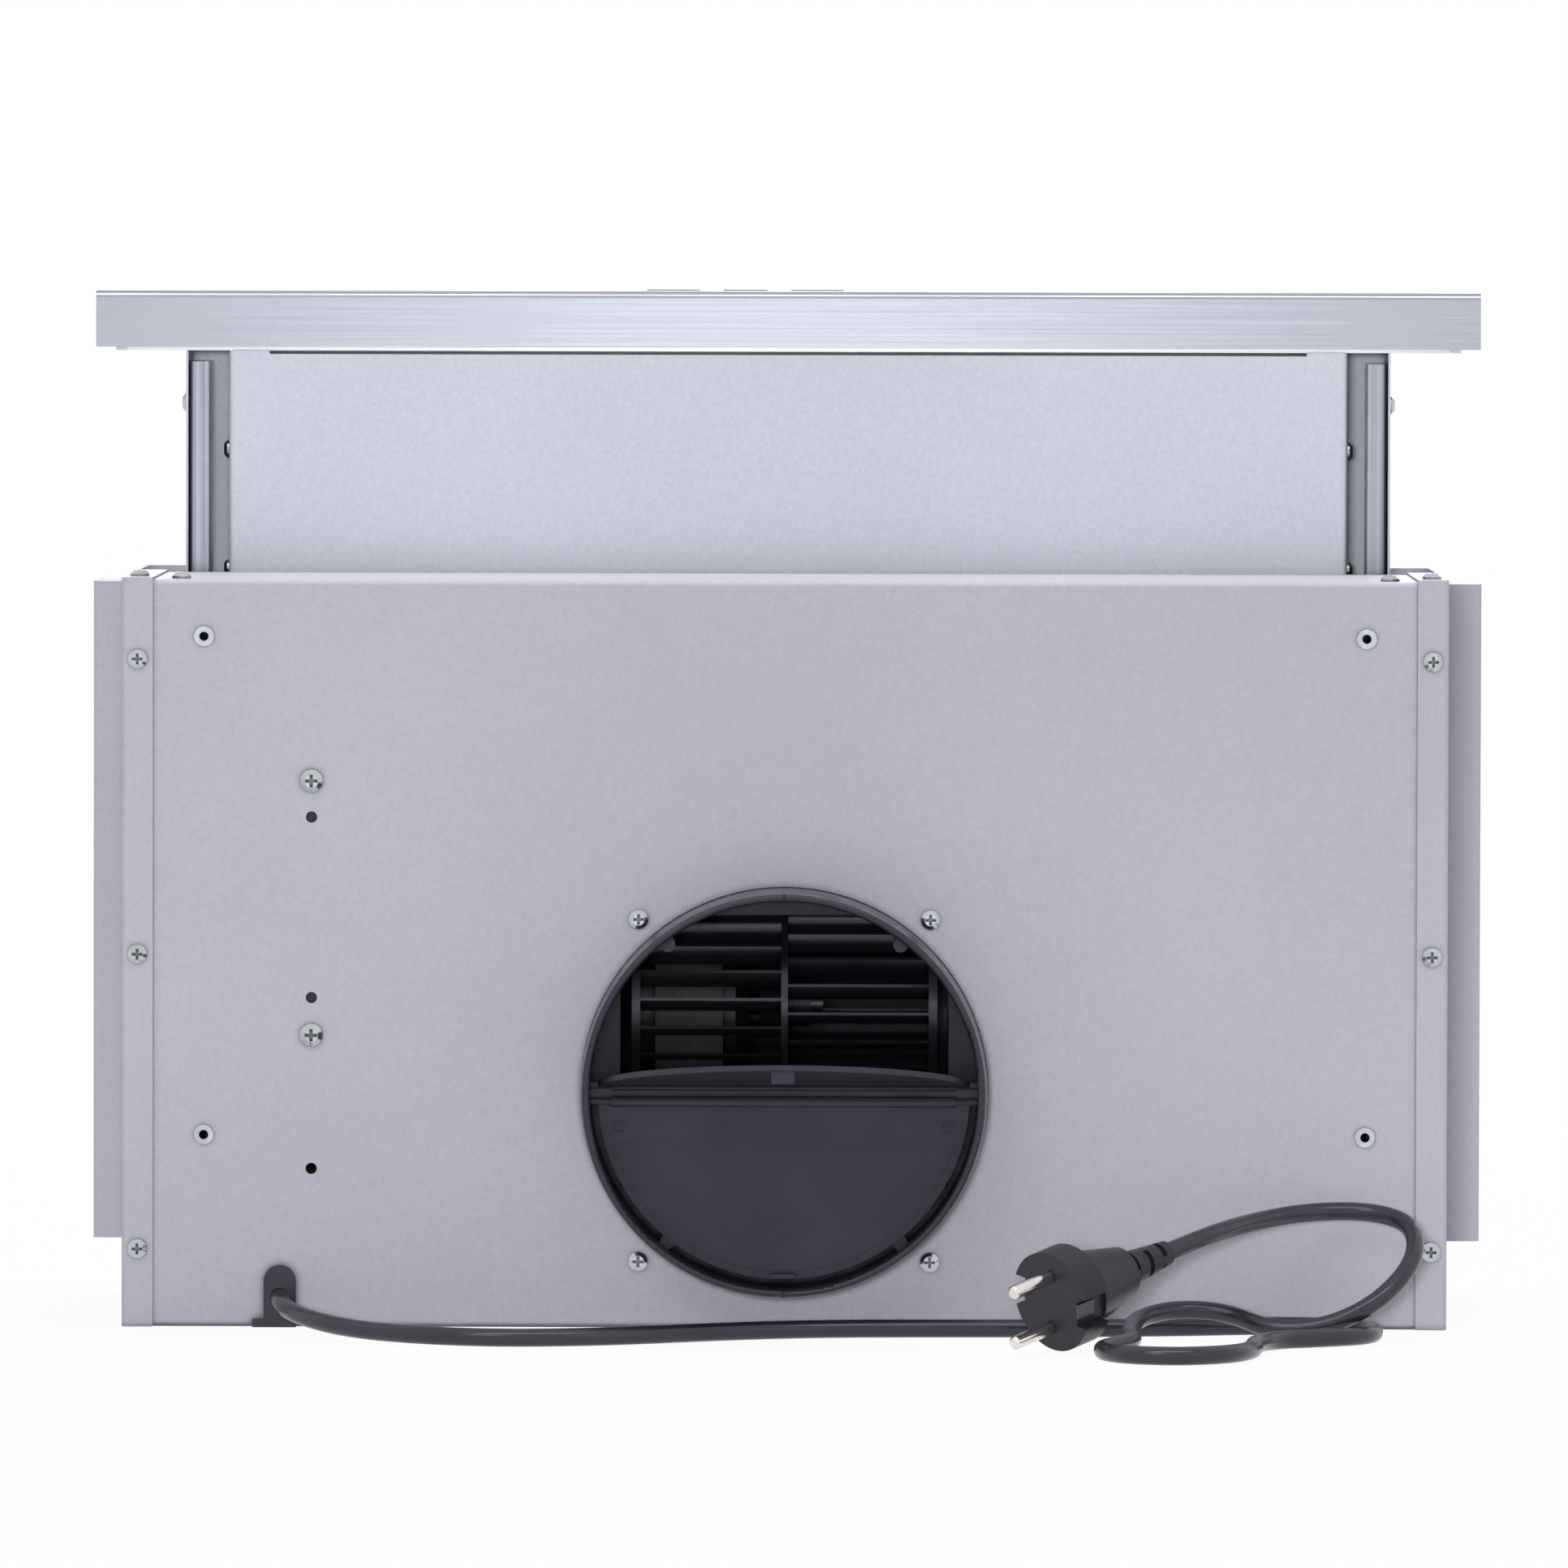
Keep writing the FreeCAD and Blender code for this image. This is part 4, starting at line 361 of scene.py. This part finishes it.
def painted(name, color):
    """Matt fine-grained paint over sheet steel: slow clouds, fine speckle and a little orange peel."""
    skin = Surface(name, color, roughness=0.5, Specular_IOR_Level=0.4)
    mottle = skin.both(skin.noise(scale=6, detail=3), skin.noise(scale=620, detail=3), "ADD")
    skin.tint(mottle, dark=0.94, light=1.06, start=0.75, end=1.25)
    # Painted shade in the seams and recesses of the paint
    skin.painted_crevice_shade(dark=0.3)
    skin.rough(skin.noise(scale=60, detail=3), spread=0.05)
    skin.bump(skin.noise(scale=900, detail=2), depth=0.00005, strength=0.5)
    skin.bump(skin.noise(scale=14, detail=1), depth=0.0004, strength=0.15)
    return skin.material


def brushed(name, color, along, roughness=0.21, anisotropic=0.3):
    """Metal brushed along one axis: long fine streaks in colour, gloss and relief."""
    skin = Surface(name, color, metallic=1.0, roughness=roughness, Anisotropic=anisotropic,
                   Specular_Tint=GRAZING_TINT)
    streaks = skin.streaked(along, long_scale=9, cross_scale=1300)
    fine = skin.noise(scale=1, detail=4, place=streaks)
    skin.tint(fine, dark=0.92, light=1.08)
    skin.rough(skin.noise(scale=1.7, detail=3, place=streaks), spread=0.008)
    skin.bump(fine, depth=0.000004, strength=0.15)
    return skin.material


def plated(name, color, roughness=0.32, crevice_shade=0.12):
    """Zinc or nickel plating with faint clouding, and painted shade in seams and recesses down to the
    given share.
    """
    skin = Surface(name, color, metallic=1.0, roughness=roughness)
    skin.tint(skin.noise(scale=130, detail=4), dark=0.86, light=1.1)
    # Painted shade in seams and round screw heads
    skin.painted_crevice_shade(dark=crevice_shade)
    skin.rough(skin.noise(scale=240, detail=3), spread=0.08)
    skin.bump(skin.noise(scale=1500, detail=2), depth=0.000008, strength=0.2)
    return skin.material


def rolled_with_painted_sheen(name, color, along):
    """Zinc-plated strip: long bands of lighter and darker colour along its length, streaks from rolling
    with painted highlight and shade on top.
    """
    skin = Surface(name, color, metallic=1.0, roughness=0.34)
    streaks_and_sheen_bands = skin.noise(scale=1, detail=2, place=skin.streaked(along, long_scale=3, cross_scale=420))
    # Strong light and dark bands: rolling streaks and painted highlight and shade
    skin.tint(streaks_and_sheen_bands, dark=0.7, light=1.4)
    # Painted shade in the seams and recesses of the strip
    skin.painted_crevice_shade(dark=0.45)
    skin.rough(skin.noise(scale=240, detail=3), spread=0.06)
    skin.bump(streaks_and_sheen_bands, depth=0.00002, strength=0.2)
    return skin.material


def moulded(name, color, roughness=0.4, gloss=0.32, relief=0.00003):
    """Injection-moulded plastic with a fine spark grain."""
    skin = Surface(name, color, roughness=roughness, Specular_IOR_Level=gloss, Specular_Tint=COOL_TINT)
    skin.tint(skin.noise(scale=30, detail=3), dark=0.88, light=1.12)
    # Painted shade in the seams and recesses of the plastic
    skin.painted_crevice_shade(dark=0.25)
    skin.rough(skin.noise(scale=90, detail=3), spread=0.06)
    skin.bump(skin.noise(scale=1400, detail=2), depth=relief, strength=0.45)
    return skin.material


def soft_pvc(name, color, roughness=0.22, gloss=0.55):
    """Slightly waxy flexible lead jacket and plug."""
    skin = Surface(name, color, roughness=roughness, Specular_IOR_Level=gloss, Specular_Tint=COOL_TINT)
    skin.tint(skin.noise(scale=45, detail=3), dark=0.85, light=1.15)
    skin.rough(skin.noise(scale=160, detail=3), spread=0.05)
    skin.bump(skin.noise(scale=700, detail=2), depth=0.00002, strength=0.2)
    return skin.material


def expanded_mesh(name, color):
    """Layers of expanded aluminium foil: diamond cells, with the openings between the strands painted
    dark as shade.
    """
    skin = Surface(name, color, metallic=1.0, roughness=0.38)
    rising, falling = (
        skin.wave(scale=38, place=skin.stretched((way, 1, 1.7)), direction="DIAGONAL", distortion=0.6)
        for way in (1, -1)
    )
    strands = skin.both(rising, falling, "MAXIMUM")
    # Openings between strands painted dark: painted shade of the layers behind
    skin.tint(strands, dark=0.12, light=1.0, start=0.55, end=0.9)
    skin.rough(skin.noise(scale=300, detail=2), spread=0.08)
    skin.bump(strands, depth=0.0009, strength=0.9)
    return skin.material


def laminated(name, color):
    """Varnished stack of thin plates."""
    skin = Surface(name, color, metallic=0.2, roughness=0.42)
    plates = skin.wave(scale=330)
    skin.tint(skin.both(plates, skin.noise(scale=90, detail=3)), dark=0.6, light=1.5, start=0.1, end=0.5)
    skin.bump(plates, depth=0.00015, strength=0.7)
    return skin.material


def frosted(name, color):
    """Lens with a fine pebbled pattern."""
    skin = Surface(name, color, roughness=0.24, Specular_IOR_Level=0.5, Subsurface_Weight=0.1)
    pebbles = skin.cells(scale=520)
    skin.tint(pebbles, dark=1.03, light=0.95, start=0.1, end=0.7)
    skin.rough(skin.noise(scale=200, detail=2), spread=0.05)
    skin.bump(pebbles, depth=0.0003, strength=0.5)
    return skin.material


# The look of each material slot
MATERIALS = {
    "casing_paint": painted("casing_paint_look", PAINT),
    "drawer_paint": painted("drawer_paint_look", PANEL_PAINT),
    "bar_steel": brushed("bar_steel_look", STEEL, "X"),
    "zinc": plated("zinc_look", ZINC, crevice_shade=0.45),
    "screw_zinc": plated("screw_zinc_look", BRIGHT_ZINC, roughness=0.17),
    "motor_steel": plated("motor_steel_look", DULL_STEEL, roughness=0.48),
    "shaft_steel": brushed("shaft_steel_look", SHAFT_STEEL, "X", roughness=0.4),
    "black_plastic": moulded("black_plastic_look", BLACK),
    "cord_pvc": soft_pvc("cord_pvc_look", CHARCOAL),
    "pin_nickel": plated("pin_nickel_look", NICKEL, roughness=0.18),
    "filter_aluminium": brushed("filter_aluminium_look", ALUMINIUM, "X", roughness=0.4, anisotropic=0.2),
    "filter_mesh": expanded_mesh("filter_mesh_look", FOIL),
    "latch_plastic": moulded("latch_plastic_look", LATCH_GREY),
    "stator_varnish": laminated("stator_varnish_look", VARNISH),
    "capacitor_can": plated("capacitor_can_look", CAN_ALUMINIUM, roughness=0.3),
    "button_plastic": moulded("button_plastic_look", BUTTON_GREY, roughness=0.35),
    "lamp_housing": moulded("lamp_housing_look", HOUSING_WHITE),
    "lamp_lens": frosted("lamp_lens_look", LENS_WHITE),
}

# Nodes that look a little different from the rest of their slot
# Slides: plated strip with bands of painted highlight and shade
SLIDE_LOOK = rolled_with_painted_sheen("slide_look", SLIDE_ZINC, "Z")
# The scroll and wheel are darker than the other black plastic: painted shade inside the collar
SCROLL_LOOK = moulded("scroll_look", SCROLL_SHADED_BLACK, roughness=0.32, gloss=0.4)
# Drawer and slide screws get lighter painted shade round their heads
DRAWER_SCREW_LOOK = plated("drawer_screw_look", BRIGHT_ZINC, roughness=0.28, crevice_shade=0.6)
NODE_LOOKS = {
    "plug_body": soft_pvc("plug_look", PLUG_BLACK, roughness=0.38, gloss=0.36),
    "plug_earth_clips": plated("earth_clip_look", DULL_STEEL, roughness=0.4),
    # Back plate in a paler copy of the bar's steel: painted highlight
    "bar_back_plate": brushed("back_plate_look", HIGHLIGHT_PALE_STEEL, "X"),
    "duct_collar": moulded("collar_look", COLLAR_BLACK, roughness=0.27, gloss=0.42, relief=SMOOTH_RELIEF),
    "blower_wheel": moulded("wheel_look", WHEEL_SHADED_BLACK, roughness=0.24, gloss=0.6, relief=SMOOTH_RELIEF),
    "blower_housing_left": SCROLL_LOOK,
    "blower_housing_right": SCROLL_LOOK,
    "drawer_screws": DRAWER_SCREW_LOOK,
    "slide_screws": DRAWER_SCREW_LOOK,
    **{f"slide_{part}_{side}": SLIDE_LOOK for part in ("fixed", "moving") for side in ("left", "right")},
}


def dress_nodes():
    """Every CAD node takes its own look or that of its slot."""
    for entry in frame["record"]["subparts"]:
        item = NODES[entry["node"]]
        item.data.materials.clear()
        item.data.materials.append(NODE_LOOKS.get(entry["node"], MATERIALS[entry["material_slot"]]))


# Mains lead, in millimetres apart from its length in metres

CORD_RADIUS = 3.2
GROMMET_HOLE = (-178, -72.2, 10.6)
PLUG_END = Vector((133.5, -145, 32.2))
PLUG_AXIS = Vector((-0.70, -0.65, -0.25)).normalized()
RELIEF_LENGTH = 22
CORD_CURVE_ORDER = 3
CORD_STEPS = 10
CORD_ROUNDNESS = 8
CORD_ROUTE = [
    (-178, -91, 10.6),
    (-172, -113, 7.5),
    (-153, -135, 4.2),
    (-127, -154, 3.4),
    (-96, -166, 3.4),
    (-58, -157, 3.4),
    (-20, -133, 3.4),
    (14, -120, 3.4),
    (56, -117, 3.4),
    (96, -115.5, 3.4),
    (136, -110, 3.4),
    (164, -101.5, 3.4),
    (186, -101, 3.4),
    (202, -110, 3.4),
    (208, -127, 3.4),
    (203, -145, 3.4),
    (187, -155.5, 3.4),
    (171, -164, 3.4),
    (163, -182, 3.4),
    (163, -205, 3.4),
    (155, -226, 3.4),
    (136, -237, 3.4),
    (116, -229, 3.4),
    (109, -210, 3.4),
    (115, -190, 3.4),
    (122, -171, 3.4),
    (121, -153, 4.4),
    (122.5, -134.5, 8),
    (136, -121, 10.8),
    (155, -121.5, 10),
    (170, -133, 4.4),
    (190, -136, 5.6),
    (208.3, -134.5, 14.5),
    (221.5, -121.3, 28),
    (221.5, -102.7, 39),
    (208.3, -89.5, 43),
    (187, -89.5, 43),
    (168.5, -101.5, 41),
]


def make_cord():
    """One smooth lead from the grommet to the plug."""
    points = [GROMMET_HOLE, *CORD_ROUTE, PLUG_END - PLUG_AXIS * RELIEF_LENGTH, PLUG_END]
    data = bpy.data.curves.new("mains_lead", "CURVE")
    data.dimensions = "3D"
    spline = data.splines.new("NURBS")
    spline.points.add(len(points) - 1)
    for spot, place in zip(spline.points, points):
        spot.co = (*(c * MM for c in place), 1)
    spline.order_u = CORD_CURVE_ORDER
    spline.use_endpoint_u = True
    spline.resolution_u = CORD_STEPS
    data.bevel_depth = CORD_RADIUS * MM
    data.bevel_resolution = CORD_ROUNDNESS
    data.use_fill_caps = True
    cord = bpy.data.objects.new("mains_lead", data)
    bpy.context.scene.collection.objects.link(cord)
    dress(cord, "casing", "cord_pvc", MATERIALS["cord_pvc"], "mains_cord")


# Filters, in metres

STRAND_LONG = 0.0105
STRAND_SHORT = 0.0052
STRAND_WIDTH = 0.0011
STRAND_DEPTH = 0.0007

# Upper and lower bends of a strand: their place in its row and their share of its depth
BEND_PLACES = (0.75, 0.25)
BEND_LIFTS = (1, 0.4)


def make_strands(node, body):
    """Outer layer of a filter's expanded foil: zigzag strands that meet at their bends."""
    low, high = (Vector(corner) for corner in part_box(node))
    columns = 2 * int((high.x - low.x) / STRAND_LONG)
    rows = 2 * int((high.z - low.z) / STRAND_SHORT)
    step_x = (high.x - low.x - STRAND_WIDTH) / columns
    step_z = (high.z - low.z - STRAND_WIDTH) / rows
    bm = bmesh.new()
    for row in range(rows):
        ring = None
        for column in range(columns + 1):
            bend = (row + column) % 2
            x = low.x + STRAND_WIDTH / 2 + column * step_x
            z = low.z + STRAND_WIDTH / 2 + (row + BEND_PLACES[bend]) * step_z
            lift = STRAND_DEPTH * BEND_LIFTS[bend]
            corners = [bm.verts.new((x, high.y + y, z + side * STRAND_WIDTH / 2))
                       for side, y in ((-1, 0), (1, 0), (1, lift), (-1, lift))]
            if ring:
                for i in range(len(corners)):
                    bm.faces.new((ring[i], ring[i - 1], corners[i - 1], corners[i]))
            ring = corners
    bmesh.ops.recalc_face_normals(bm, faces=bm.faces)
    dress(new_object(f"{node}_strands", bm), body, "filter_mesh", MATERIALS["filter_aluminium"])


def main():
    make_camera()
    make_world()
    make_floor()
    make_lamps()
    dress_nodes()
    make_cord()
    for node, body in (("body_filter_mesh", "casing"), ("drawer_filter_mesh", "drawer")):
        make_strands(node, body)
    bpy.context.scene.view_settings.view_transform = "Standard"


main()
